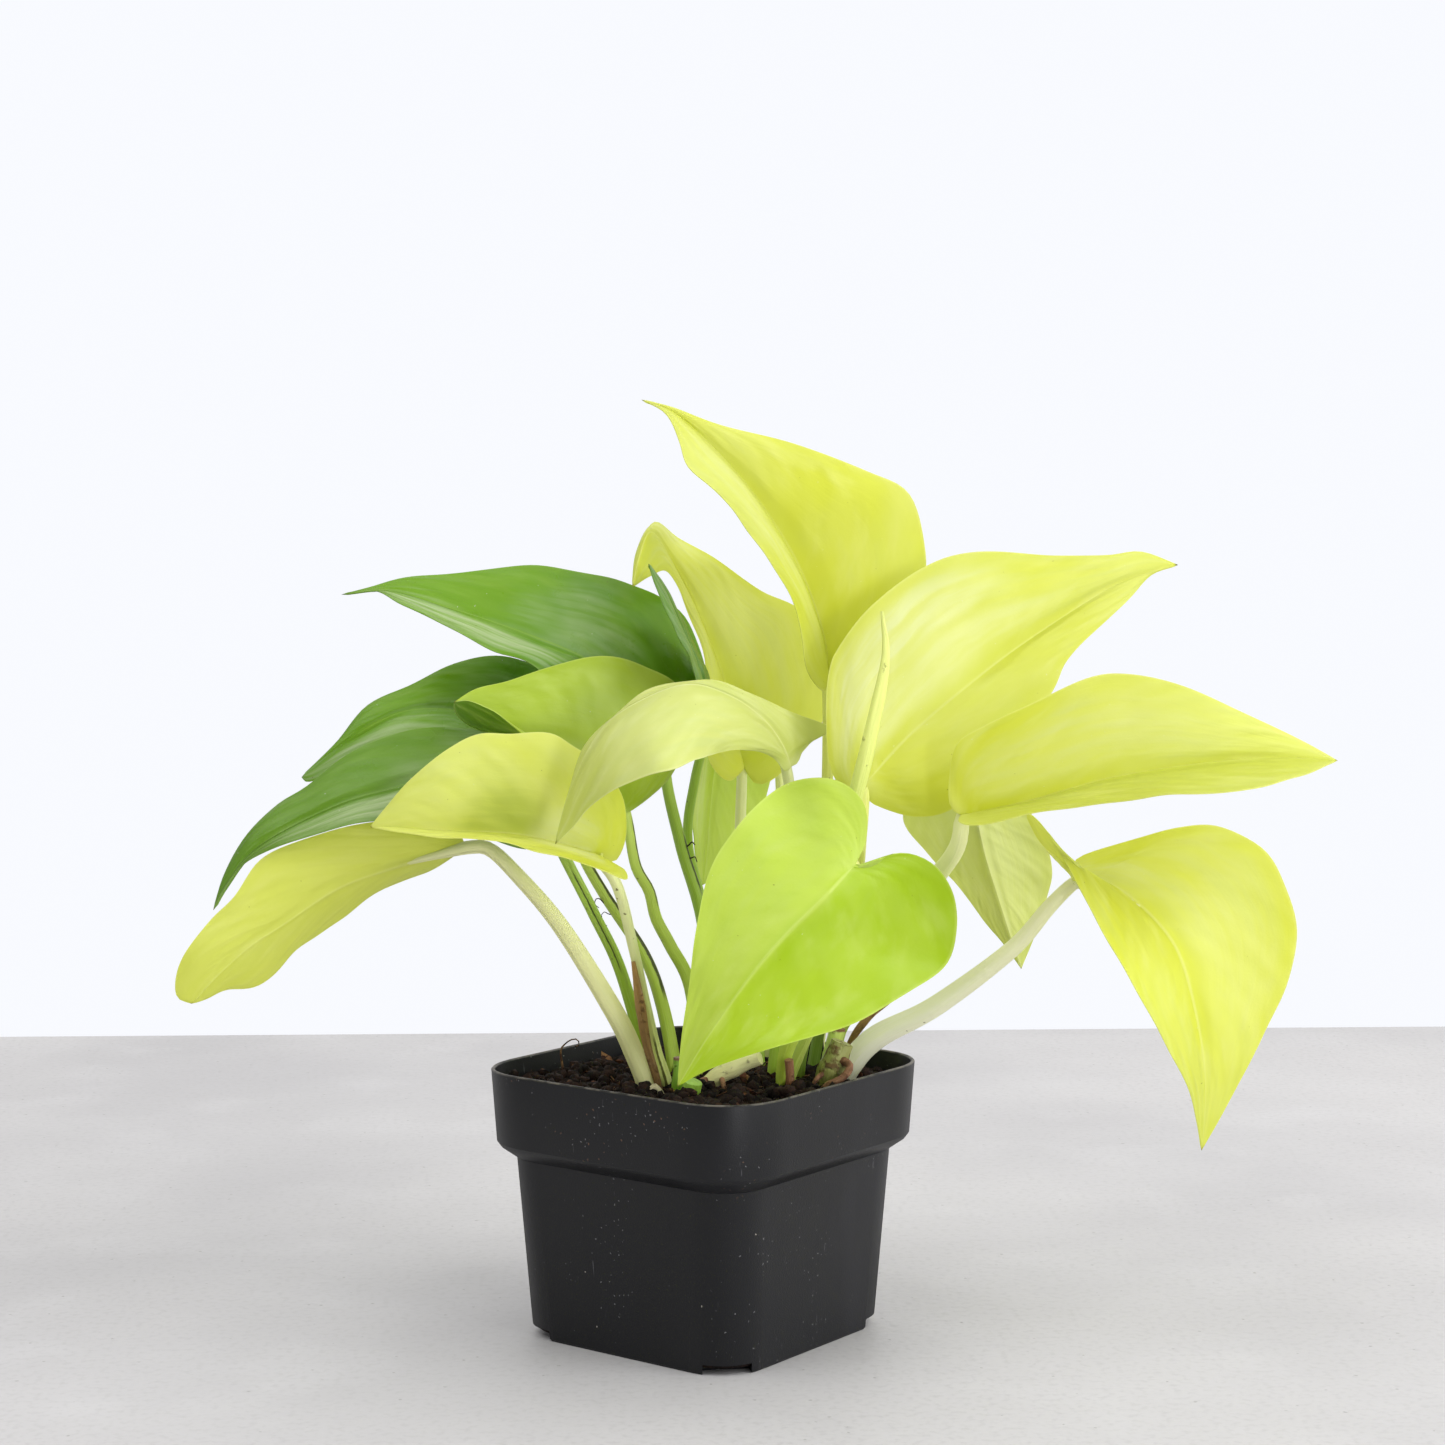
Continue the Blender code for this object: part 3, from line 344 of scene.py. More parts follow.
# The furled leaf, cut stems, root and dry sheaths: colour kind, route and radii from inside the
# soil to the end, then the route and radius of each root that grows from it
STEMS = {
    "furled_leaf": dict(
        kind="stem", radii=(1.8, 1.8, 1.8, 1.8, 2.0, 2.3, 1.8, 0.4),
        route=((24.5, -10, 60), (24.5, -11, 75), (31, -17, 93), (40, -25, 116), (40.5, -27, 139),
               (42, -30, 156), (46.5, -33, 176), (51, -33, 199), (50, -32, 213)),
    ),
    "stem_cut_right": dict(
        kind="stem", radii=(3.0, 3.2, 3.9, 3.2),
        route=((35, -12, 60), (35.5, -12.5, 74), (37.5, -13, 81), (40, -13, 87.5)),
        roots=(
            (1.3, ((39, -14, 83), (42, -18, 81.5), (40, -20, 78.5), (35.5, -20.5, 76.5), (32.5, -20, 73))),
            (0.9, ((36, -14, 79), (33, -16.5, 78), (31, -17, 74.5))),
        ),
    ),
    "stem_pale_front": dict(
        kind="pale", radii=(2.2, 2.4, 2.6, 2.5, 2.4, 2.2),
        route=((-4, -15, 64), (-1, -15.5, 72), (3, -17, 77.5), (8, -18, 80.5), (12.5, -19, 83),
               (16, -20, 84.5)),
        roots=(
            (1.3, ((1, -17, 77), (-1, -20.5, 77), (-2, -22, 73))),
            (0.9, ((5, -18, 78.5), (5.5, -21.5, 77), (6.5, -23, 73.5))),
        ),
    ),
    "stem_stub_front": dict(
        kind="stem", radii=(3.0, 3.1, 2.6),
        route=((-5, -31, 60), (-4.5, -32, 73), (-3, -33.5, 80)),
    ),
    "stem_cut_left": dict(
        kind="stem", radii=(1.6, 1.7, 1.7),
        route=((-7.5, -25.5, 60), (-7.5, -26, 75), (-7, -26, 85.5)),
    ),
    "stem_stub_left": dict(
        kind="pale", radii=(1.5, 1.7, 1.3),
        route=((-12.5, -28.5, 62), (-12.5, -29, 74), (-14.5, -30, 78)),
    ),
    "stem_cut_centre": dict(
        kind="stem", radii=(2.1, 2.3, 2.4),
        route=((36.5, 3.5, 60), (36.7, 3.5, 76), (39.2, 3, 89)),
    ),
    "root_front": dict(
        kind="sheath", radii=(0.8, 1.1, 1.3),
        route=((25, -22, 62), (24.8, -22.5, 75), (24.3, -24.3, 84.5)),
    ),
    "sheath_back": dict(
        kind="sheath", radii=(0.8, 1.0, 0.6),
        route=((35, 17, 60), (35, 17, 76), (34.8, 16.7, 86.5)),
    ),
    "sheath_left": dict(
        kind="sheath", radii=(0.8, 0.9, 1.1, 1.3, 0.5),
        route=((-12, -24.5, 60), (-12.8, -24.8, 76), (-16.4, -25.5, 89), (-18, -28, 101),
               (-20, -32, 114)),
    ),
    "sheath_right": dict(
        kind="sheath", radii=(0.7, 0.9, 0.9, 1.0, 0.5),
        route=((42, 4, 60), (42, 4, 75), (43, 3.2, 84), (47.5, 0.5, 91.5), (54.5, -3, 98)),
    ),
}


def linear(colour):
    """Turns a colour as seen on a screen into the light values that a shader takes."""
    return tuple(c / 12.92 if c <= 0.04045 else ((c + 0.055) / 1.055) ** 2.4 for c in colour)


class Recipe:
    """One material and short calls for its nodes; each call returns the socket it makes."""

    def __init__(self, name, roughness=0.5, **finish):
        self.material = bpy.data.materials.new(name)
        self.material.use_nodes = True
        self.tree = self.material.node_tree
        self.shader = self.tree.nodes["Principled BSDF"]
        self.output = self.tree.nodes["Material Output"]
        self.shader.inputs["Roughness"].default_value = roughness
        for setting, value in finish.items():
            self.shader.inputs[setting.replace("_", " ")].default_value = value
        self.place = self.tree.nodes.new("ShaderNodeTexCoord").outputs["Object"]

    def plug(self, socket, value):
        if isinstance(value, bpy.types.NodeSocket):
            self.tree.links.new(value, socket)
        elif isinstance(value, tuple):
            socket.default_value = (*linear(value), 1.0)
        else:
            socket.default_value = value

    def uv(self):
        """Along and across, from the piece's own map."""
        made = self.tree.nodes.new("ShaderNodeUVMap")
        made.uv_map = "Form"
        parts = self.tree.nodes.new("ShaderNodeSeparateXYZ")
        self.tree.links.new(made.outputs["UV"], parts.inputs[0])
        return parts.outputs[0], parts.outputs[1]

    def height(self):
        parts = self.tree.nodes.new("ShaderNodeSeparateXYZ")
        self.tree.links.new(self.place, parts.inputs[0])
        return parts.outputs[2]

    def calc(self, operation, *values):
        made = self.tree.nodes.new("ShaderNodeMath")
        made.operation = operation
        for socket, value in zip(made.inputs, values):
            self.plug(socket, value)
        return made.outputs[0]

    def remap(self, value, low, high, out_low=0.0, out_high=1.0):
        made = self.tree.nodes.new("ShaderNodeMapRange")
        made.interpolation_type = "SMOOTHSTEP"
        for socket, number in zip(made.inputs, (value, low, high, out_low, out_high)):
            self.plug(socket, number)
        return made.outputs[0]

    def noise(self, scale, detail=3.0, stretch=None, where=None):
        made = self.tree.nodes.new("ShaderNodeTexNoise")
        made.inputs["Scale"].default_value = scale
        made.inputs["Detail"].default_value = detail
        source = where or self.place
        if stretch:
            source = self.stretched(source, stretch)
        self.tree.links.new(source, made.inputs["Vector"])
        return made.outputs["Fac"]

    def stretched(self, source, stretch):
        made = self.tree.nodes.new("ShaderNodeMapping")
        made.inputs["Scale"].default_value = stretch
        self.tree.links.new(source, made.inputs["Vector"])
        return made.outputs[0]

    def join(self, *parts):
        """A vector from two or three numbers."""
        made = self.tree.nodes.new("ShaderNodeCombineXYZ")
        for socket, value in zip(made.inputs, parts):
            self.plug(socket, value)
        return made.outputs[0]

    def shaken(self):
        """The place in the object, pushed a little to and fro so that round marks turn ragged."""
        ripple = self.tree.nodes.new("ShaderNodeTexNoise")
        ripple.inputs["Scale"].default_value = SHAKE_SCALE
        self.tree.links.new(self.place, ripple.inputs["Vector"])
        made = self.tree.nodes.new("ShaderNodeVectorMath")
        made.operation = "MULTIPLY_ADD"
        self.tree.links.new(ripple.outputs["Color"], made.inputs[0])
        made.inputs[1].default_value = (SPECK_SHAKE, SPECK_SHAKE, SPECK_SHAKE)
        self.tree.links.new(self.place, made.inputs[2])
        return made.outputs[0]

    def cells(self, scale, output="Distance"):
        made = self.tree.nodes.new("ShaderNodeTexVoronoi")
        made.inputs["Scale"].default_value = scale
        self.tree.links.new(self.shaken(), made.inputs["Vector"])
        return made.outputs[output]

    def blend(self, factor, first, second):
        made = self.tree.nodes.new("ShaderNodeMix")
        made.data_type = "RGBA"
        self.plug(made.inputs["Factor"], factor)
        self.plug(made.inputs["A"], first)
        self.plug(made.inputs["B"], second)
        return made.outputs["Result"]

    def specks(self, scale, share, size):
        """A mask of sparse round dots: a share of the cells, each of this size."""
        dots = self.remap(self.cells(scale), size, size * 0.5)
        value = self.tree.nodes.new("ShaderNodeSeparateColor")
        self.tree.links.new(self.cells(scale, "Color"), value.inputs[0])
        return self.calc("MULTIPLY", dots, self.calc("LESS_THAN", value.outputs[0], share))

    def lines(self, value, width):
        """A mask of thin lines where a rising value passes each whole number."""
        near = self.calc("ABSOLUTE", self.calc("SUBTRACT", self.calc("FRACT", value), 0.5))
        return self.remap(near, width, 0.0)

    def bump(self, height, distance, strength=1.0):
        made = self.tree.nodes.new("ShaderNodeBump")
        made.inputs["Distance"].default_value = distance
        made.inputs["Strength"].default_value = strength
        self.tree.links.new(height, made.inputs["Height"])
        self.tree.links.new(made.outputs[0], self.shader.inputs["Normal"])
        return made.outputs[0]

    def finish(self, colour, roughness=None):
        self.plug(self.shader.inputs["Base Color"], colour)
        if roughness is not None:
            self.plug(self.shader.inputs["Roughness"], roughness)
        return self.material

    def let_light_through(self, colour, share, normal):
        """Mixes in light that comes through from the far face."""
        through = self.tree.nodes.new("ShaderNodeBsdfTranslucent")
        self.plug(through.inputs["Color"], colour)
        self.tree.links.new(normal, through.inputs["Normal"])
        mixed = self.tree.nodes.new("ShaderNodeMixShader")
        mixed.inputs["Fac"].default_value = share
        self.tree.links.new(self.shader.outputs[0], mixed.inputs[1])
        self.tree.links.new(through.outputs[0], mixed.inputs[2])
        self.tree.links.new(mixed.outputs[0], self.output.inputs["Surface"])


# Leaf colours as seen: light and deep tone, veins, underside, light that comes through, and how strong the
# painted sheen streaks are
LEAF_LOOKS = {
    "neon": dict(light=(0.91, 0.93, 0.52), deep=(0.88, 0.90, 0.30), vein=(0.94, 0.95, 0.64),
                 under=(0.88, 0.91, 0.48), through=(0.95, 0.96, 0.50), gloss=0.40, glow=0.50, satin=0.25),
    "lime": dict(light=(0.70, 0.79, 0.24), deep=(0.63, 0.73, 0.10), vein=(0.80, 0.87, 0.44),
                 under=(0.38, 0.54, 0.16), through=(0.72, 0.82, 0.10), gloss=0.38, glow=0.32, satin=0.2),
    # The heart look paints one half of the blade paler: a painted sheen
    "heart": dict(light=(0.73, 0.84, 0.16), deep=(0.67, 0.79, 0.04), vein=(0.85, 0.91, 0.46),
                  under=(0.74, 0.84, 0.34), through=(0.74, 0.86, 0.02), gloss=0.34, glow=0.34, satin=0.1,
                  half=(0.58, 0.48, (0.80, 0.88, 0.34))),
    # Neon with one half of the blade painted darker: painted shade where the blade folds away from the light
    "folded": dict(light=(0.91, 0.93, 0.52), deep=(0.88, 0.90, 0.30), vein=(0.94, 0.95, 0.66),
                   under=(0.80, 0.84, 0.42), through=(0.95, 0.96, 0.50), gloss=0.40, glow=0.50, satin=0.25,
                   half=(0.50, 0.60, (0.80, 0.83, 0.40))),
    # A slightly darker copy of neon: painted shade on the two top leaves, which catch the most light
    "neon_shaded_copy": dict(light=(0.87, 0.89, 0.48), deep=(0.84, 0.86, 0.28), vein=(0.92, 0.93, 0.62),
                  under=(0.88, 0.91, 0.48), through=(0.93, 0.94, 0.48), gloss=0.40, glow=0.48, satin=0.25),
    "green": dict(light=(0.45, 0.62, 0.12), deep=(0.36, 0.55, 0.03), vein=(0.56, 0.70, 0.26),
                  under=(0.50, 0.65, 0.26), through=(0.50, 0.74, 0.02), gloss=0.30, glow=0.30, satin=0.7),
    "deep": dict(light=(0.40, 0.56, 0.12), deep=(0.30, 0.48, 0.03), vein=(0.52, 0.66, 0.28),
                 under=(0.46, 0.61, 0.24), through=(0.46, 0.70, 0.02), gloss=0.30, glow=0.26, satin=0.6),
    "dark": dict(light=(0.34, 0.50, 0.14), deep=(0.25, 0.41, 0.07), vein=(0.46, 0.60, 0.26),
                 under=(0.30, 0.46, 0.14), through=(0.40, 0.62, 0.03), gloss=0.34, glow=0.20, satin=0.3),
    "olive": dict(light=(0.80, 0.87, 0.46), deep=(0.74, 0.82, 0.24), vein=(0.86, 0.90, 0.60),
                  under=(0.82, 0.88, 0.44), through=(0.86, 0.93, 0.26), gloss=0.36, glow=0.48, satin=0.7),
    "pale": dict(light=(0.85, 0.87, 0.55), deep=(0.76, 0.80, 0.38), vein=(0.93, 0.94, 0.72),
                 under=(0.86, 0.89, 0.56), through=(0.91, 0.93, 0.50), gloss=0.40, glow=0.42, satin=0.35),
}
OWN_LOOKS = {
    "leaf_top": "neon_shaded_copy",
    "leaf_upper_right": "neon_shaded_copy",
    "leaf_right": "folded",
    "leaf_front_heart": "heart",
    "leaf_green_low": "deep",
    "leaf_green_upright": "dark",
    "leaf_back_hanging": "olive",
}
# Patch colours: whitish and greyish painted sheen, lime in painted shade, and a fresher green
WHITISH_SHEEN = (0.96, 0.97, 0.80)
GREYISH_SHEEN = (0.74, 0.80, 0.60)
SHADED_LIME = (0.70, 0.75, 0.22)
FRESH_GREEN = (0.50, 0.64, 0.06)
# Streaked patches, mostly painted sheen and light, some painted shade, a few of the leaf's own paler or
# greener tone: share along, share across, reach along, reach across, strength, colour
SHEEN_SHADE_PATCHES = {
    "leaf_top": ((0.55, 0.30, 0.40, 0.22, 0.4, WHITISH_SHEEN),),
    "leaf_back_curled": ((0.62, 0.75, 0.40, 0.28, 0.7, WHITISH_SHEEN), (0.62, 0.22, 0.30, 0.20, 0.5, WHITISH_SHEEN)),
    "leaf_upper_right": ((0.34, 0.16, 0.36, 0.16, 0.9, WHITISH_SHEEN), (0.42, 0.36, 0.34, 0.12, 0.6, WHITISH_SHEEN)),
    "leaf_right": ((0.45, 0.30, 0.40, 0.25, 0.4, WHITISH_SHEEN),),
    "leaf_far_right": ((0.06, 0.58, 0.34, 0.16, 1.0, WHITISH_SHEEN), (0.45, 0.75, 0.35, 0.25, 0.3, WHITISH_SHEEN),
                       (0.0, 0.50, 0.12, 0.60, 1.0, WHITISH_SHEEN)),
    "leaf_front_left": ((0.55, 0.50, 0.18, 0.28, 0.9, SHADED_LIME),
                        (0.30, 0.45, 0.20, 0.30, 0.8, WHITISH_SHEEN)),
    "leaf_lime_left": ((0.45, 0.30, 0.40, 0.30, 0.3, WHITISH_SHEEN),),
    "leaf_green_top": ((0.70, 0.22, 0.30, 0.20, 0.9, GREYISH_SHEEN), (0.10, 0.60, 0.25, 0.50, 0.7, FRESH_GREEN)),
    "leaf_green_middle": ((0.75, 0.20, 0.25, 0.20, 0.7, GREYISH_SHEEN),),
    "leaf_green_low": ((0.40, 0.20, 0.50, 0.26, 0.8, GREYISH_SHEEN),),
    "leaf_back_hanging": ((0.45, 0.20, 0.45, 0.22, 0.8, WHITISH_SHEEN),),
    "leaf_back_right": ((0.50, 0.50, 0.50, 0.50, 0.4, WHITISH_SHEEN),),
}
# Greyish colour of the painted sheen streaks on the leaves
PAINTED_SHEEN_TONE = (0.72, 0.79, 0.60)
LEAF_SHINE = 0.3
ROOT_DARK = (0.40, 0.26, 0.18)
ROOT_WARM = (0.62, 0.45, 0.34)
HAIR_DARK = (0.12, 0.08, 0.06)
HAIR_WARM = (0.24, 0.16, 0.11)
# Petiole colours at the soil, at the blade, and in the fine streaks
STALK_LOOKS = {
    "milk": ((1.0, 1.0, 0.93), (0.99, 0.99, 0.84), (0.95, 0.96, 0.76)),
    "cream": ((0.99, 0.99, 0.74), (0.99, 0.99, 0.78), (0.95, 0.96, 0.60)),
    "pale": ((0.92, 0.95, 0.62), (0.96, 0.97, 0.74), (0.80, 0.86, 0.46)),
    "bright": ((0.86, 0.92, 0.46), (0.96, 0.97, 0.56), (0.68, 0.78, 0.28)),
    "green": ((0.80, 0.90, 0.34), (0.80, 0.88, 0.40), (0.50, 0.66, 0.16)),
    "deep": ((0.68, 0.82, 0.24), (0.72, 0.84, 0.34), (0.42, 0.60, 0.10)),
    "shade": ((0.38, 0.54, 0.14), (0.70, 0.82, 0.34), (0.22, 0.36, 0.08)),
}
# Dry dark edges on petioles: how far round, half width, from and to, as shares from the soil
STALKS = {
    "leaf_top": dict(look="shade", upper="bright"),
    "leaf_back_curled": dict(look="deep", upper="pale"),
    "leaf_upper_right": dict(look="shade", upper="bright"),
    "leaf_right": dict(look="green", upper="pale"),
    "leaf_far_right": dict(look="milk"),
    "leaf_back_right": dict(look="pale"),
    "leaf_front_heart": dict(look="green", upper="bright"),
    "leaf_arching": dict(look="deep", upper="pale"),
    "leaf_front_left": dict(look="pale", edges=((0.13, 0.03, 0.10, 0.30),)),
    "leaf_lime_left": dict(look="green", edges=((0.02, 0.03, 0.55, 0.80),)),
    "leaf_green_top": dict(look="deep", edges=((0.0, 0.06, 0.45, 0.62),)),
    "leaf_green_middle": dict(look="green", edges=((0.0, 0.09, 0.28, 0.66), (0.47, 0.07, 0.12, 0.36))),
    "leaf_green_low": dict(look="deep", edges=((0.0, 0.04, 0.38, 0.68),)),
    "leaf_far_left": dict(look="cream"),
    "leaf_green_upright": dict(look="deep"),
    "leaf_back_hanging": dict(look="pale"),
}
DRY_EDGE = (0.22, 0.17, 0.12)


def leaf_material(node, kind, face):
    """Waxy leaf skin: broad soft tones, faint swept veins, pale midrib and margin, painted sheen streaks and
    patches of painted light and shade.
    """
    look = LEAF_LOOKS[kind]
    upper = face == "upper"
    skin = Recipe(f"{node}_{face}")
    along, side = skin.uv()
    across = skin.calc("ABSOLUTE", skin.calc("SUBTRACT", skin.calc("MULTIPLY", side, 2.0), 1.0))
    base = look["light"] if upper else look["under"]
    clouds = skin.calc("ADD", skin.noise(19.0, 3.0), skin.calc("MULTIPLY", along, 0.16))
    tone = skin.blend(skin.remap(clouds, 0.40, 0.72), look["deep"] if upper else base, base)

    course = skin.calc("SUBTRACT", along, skin.calc("MULTIPLY", across, 0.30))
    fade = skin.calc("MULTIPLY", skin.remap(along, 0.97, 0.80), skin.remap(across, 0.02, 0.2))
    fade = skin.calc("MULTIPLY", fade, skin.remap(along, 0.02, 0.30))
    swells = skin.noise(1.0, 1.0, where=skin.join(skin.calc("MULTIPLY", course, 9.0),
                                                  skin.calc("MULTIPLY", side, 3.0)))
    wander = skin.calc("ADD", side, skin.calc("MULTIPLY", skin.noise(40.0, 2.0), 0.08))
    streaks = skin.noise(1.0, 5.0, where=skin.join(skin.calc("MULTIPLY", wander, 15.0),
                                                   skin.calc("MULTIPLY", along, 3.2)))
    crests = skin.calc("MULTIPLY", skin.remap(swells, 0.4, 0.7, 0.0, 0.2), fade)
    tone = skin.blend(crests, tone, look["vein"])
    # Painted light on one half of the blade: paler as sheen on the heart look, darker as shade on the look
    # used for leaf_right
    if "half" in look:
        low, high, painted_half_tone = look["half"]
        edge = skin.calc("ADD", side, skin.calc("MULTIPLY", skin.noise(60.0, 5.0), 0.06))
        tone = skin.blend(skin.remap(edge, low, high), tone, painted_half_tone)
    brushed = skin.noise(1.0, 6.0, where=skin.join(skin.calc("MULTIPLY", course, 11.0),
                                                   skin.calc("MULTIPLY", wander, 6.0)))
    tone = skin.blend(skin.remap(brushed, 0.46, 0.74, 0.0, 0.40), tone, look["vein"])
    tone = skin.blend(skin.remap(brushed, 0.44, 0.26, 0.0, 0.30), tone, look["deep"] if upper else base)
    broken = skin.remap(streaks, 0.36, 0.66, 0.35, 1.0)
    # Patches of painted sheen, light and shade, and a few of the leaf's own tone
    for far, aside, reach, width, strength, colour in SHEEN_SHADE_PATCHES.get(node, ()):
        ahead = skin.calc("DIVIDE", skin.calc("SUBTRACT", along, far), reach)
        beyond = skin.calc("DIVIDE", skin.calc("SUBTRACT", side, aside), width)
        away = skin.calc("ADD", skin.calc("MULTIPLY", ahead, ahead), skin.calc("MULTIPLY", beyond, beyond))
        drawn = skin.calc("MULTIPLY", skin.remap(away, 1.0, 0.1, 0.0, strength), broken)
        tone = skin.blend(drawn, tone, colour)
    tone = skin.blend(skin.remap(along, 0.14, 0.0, 0.0, 0.5), tone, look["vein"])
    # Painted sheen: greyish streaks on one half of each blade, standing in for glossy reflection
    sheen_half = skin.calc("SUBTRACT", skin.noise(24.0, 3.0), skin.calc("MULTIPLY", side, 0.16))
    sheen = skin.calc("MULTIPLY", skin.remap(streaks, 0.34, 0.74), skin.remap(sheen_half, 0.30, 0.56))
    tone = skin.blend(skin.calc("MULTIPLY", sheen, look["satin"] * (0.8 if upper else 0.4)), tone, PAINTED_SHEEN_TONE)

    midrib = skin.remap(across, 0.024, 0.006)
    beside = skin.calc("MULTIPLY", skin.remap(across, 0.085, 0.03), skin.remap(along, 0.9, 0.3))
    tone = skin.blend(skin.calc("MULTIPLY", beside, 0.10), tone, look["deep"])
    tone = skin.blend(skin.calc("MULTIPLY", midrib, 0.6), tone, look["vein"])
    tone = skin.blend(skin.calc("MULTIPLY", skin.remap(across, 0.975, 0.996), 0.55), tone, look["vein"])
    tone = skin.blend(skin.remap(along, 0.990, 0.999), tone, (0.45, 0.34, 0.16))
    tone = skin.blend(skin.specks(700.0, 0.02, 0.13), tone, (0.45, 0.44, 0.14))
    dust = skin.specks(620.0, 0.05 if upper else 0.01, 0.12)
    tone = skin.blend(skin.calc("MULTIPLY", dust, 0.6), tone, (0.96, 0.97, 0.90))

    veins = skin.calc("MULTIPLY", skin.lines(skin.calc("MULTIPLY", course, 7.0), 0.2), fade)
    relief = skin.calc("MULTIPLY", skin.calc("MULTIPLY", swells, fade), 1.6)
    relief = skin.calc("ADD", relief, skin.calc("MULTIPLY", veins, -0.05 if upper else 0.12))
    relief = skin.calc("ADD", relief, skin.calc("MULTIPLY", skin.calc("MULTIPLY", streaks, fade), 0.3))
    relief = skin.calc("ADD", relief, skin.calc("MULTIPLY", skin.noise(60.0, 2.0), 1.1))
    relief = skin.calc("ADD", relief, skin.calc("MULTIPLY", skin.noise(1300.0, 2.0), 0.04))
    normal = skin.bump(relief, 0.0006)
    gloss = look["gloss"] if upper else look["gloss"] + 0.12
    patchy = skin.remap(skin.noise(75.0, 4.0), 0.3, 0.7, gloss - 0.05, gloss + 0.07)
    skin.shader.inputs["Specular IOR Level"].default_value = LEAF_SHINE
    skin.finish(tone, patchy)
    skin.let_light_through(look["through"], look["glow"], normal)
    return skin.material


def stalk_material(node, look):
    """Petiole: fine lengthwise streaks, small scars and, on some, dry dark edges."""
    plan = STALKS[node]
    low, _, streak = STALK_LOOKS[plan["look"]]
    high = STALK_LOOKS[plan.get("upper", plan["look"])][1]
    skin = Recipe(f"{node}_stalk")
    along, around = skin.uv()
    tone = skin.blend(skin.remap(along, 0.2, 0.75), low, high)
    tone = skin.blend(skin.remap(along, 0.90, 0.97), tone, LEAF_LOOKS[look]["vein"])
    grain = skin.noise(1.0, 3.0, where=skin.join(skin.calc("MULTIPLY", along, 7.0),
                                                 skin.calc("MULTIPLY", around, 38.0)))
    tone = skin.blend(skin.remap(grain, 0.45, 0.75, 0.0, 0.3), tone, (0.93, 0.95, 0.72))
    tone = skin.blend(skin.remap(grain, 0.38, 0.2, 0.0, 0.45), tone, streak)
    tone = skin.blend(skin.specks(420.0, 0.06, 0.2), tone, (0.34, 0.27, 0.12))
    for centre, width, start, end in plan.get("edges", ()):
        turned = skin.calc("ABSOLUTE", skin.calc("SUBTRACT", around, centre))
        nearest = skin.calc("MINIMUM", turned, skin.calc("SUBTRACT", 1.0, turned))
        ragged = skin.calc("ADD", nearest, skin.calc("MULTIPLY", skin.noise(500.0, 3.0), 0.06))
        strip = skin.remap(ragged, width + 0.04, width + 0.02)
        strip = skin.calc("MULTIPLY", strip, skin.remap(along, start, start + 0.04))
        strip = skin.calc("MULTIPLY", strip, skin.remap(along, end, end - 0.04))
        tone = skin.blend(strip, tone, DRY_EDGE)
    relief = skin.calc("ADD", grain, skin.calc("MULTIPLY", skin.noise(900.0, 2.0), 0.3))
    normal = skin.bump(relief, 0.00018)
    skin.finish(tone, skin.remap(skin.noise(200.0), 0.3, 0.7, 0.34, 0.5))
    skin.let_light_through(high, 0.25, normal)
    return skin.material


# Cut stems: colour low down, colour at the top, how much brown corky scarring
STEM_LOOKS = {
    "furled_leaf": dict(low=(0.74, 0.82, 0.38), high=(0.90, 0.93, 0.52), cork=0.0),
    "stem_cut_right": dict(low=(0.56, 0.56, 0.30), high=(0.62, 0.63, 0.36), cork=0.6),
    "stem_pale_front": dict(low=(0.92, 0.88, 0.62), high=(0.96, 0.95, 0.70), cork=0.15),
    "stem_stub_front": dict(low=(0.50, 0.68, 0.20), high=(0.60, 0.76, 0.28), cork=0.1),
    "stem_cut_left": dict(low=(0.48, 0.68, 0.14), high=(0.52, 0.70, 0.20), cork=0.1, top=True),
    "stem_stub_left": dict(low=(0.88, 0.86, 0.74), high=(0.84, 0.80, 0.66), cork=0.35),
    "stem_cut_centre": dict(low=(0.62, 0.80, 0.20), high=(0.80, 0.88, 0.44), cork=0.1, top=True),
    "root_front": dict(low=(0.46, 0.30, 0.20), high=(0.60, 0.42, 0.30), cork=0.3),
    "sheath_back": dict(low=(0.20, 0.16, 0.12), high=(0.16, 0.13, 0.10), cork=0.4),
    "sheath_left": dict(low=(0.34, 0.24, 0.13), high=(0.72, 0.56, 0.30), cork=0.35),
    "sheath_right": dict(low=(0.55, 0.42, 0.24), high=(0.66, 0.52, 0.32), cork=0.4),
}
CORK = (0.40, 0.29, 0.18)


def stem_material(name):
    """Living stem or dry sheath, with corky brown patches and a healed cut at its top."""
    look = STEM_LOOKS[name]
    skin = Recipe(f"{name}_skin")
    along, around = skin.uv()
    tone = skin.blend(skin.remap(along, 0.1, 0.95), look["low"], look["high"])
    streaks = skin.noise(1.0, 4.0, where=skin.join(skin.calc("MULTIPLY", along, 9.0),
                                                   skin.calc("MULTIPLY", around, 26.0)))
    tone = skin.blend(skin.remap(streaks, 0.4, 0.8, 0.0, 0.4), tone, look["high"])
    patches = skin.remap(skin.noise(330.0, 5.0), 0.66 - 0.3 * look["cork"], 0.74 - 0.2 * look["cork"])
    tone = skin.blend(skin.calc("MULTIPLY", patches, min(1.0, 0.3 + look["cork"])), tone, CORK)
    if look.get("top"):
        ragged = skin.calc("ADD", along, skin.calc("MULTIPLY", skin.noise(400.0, 3.0), 0.05))
        tone = skin.blend(skin.remap(ragged, 0.985, 1.01), tone, (0.52, 0.38, 0.26))
    relief = skin.calc("ADD", streaks, skin.calc("MULTIPLY", patches, 0.9))
    skin.bump(relief, 0.0004)
    return skin.finish(tone, skin.remap(patches, 0.0, 1.0, 0.42, 0.85))


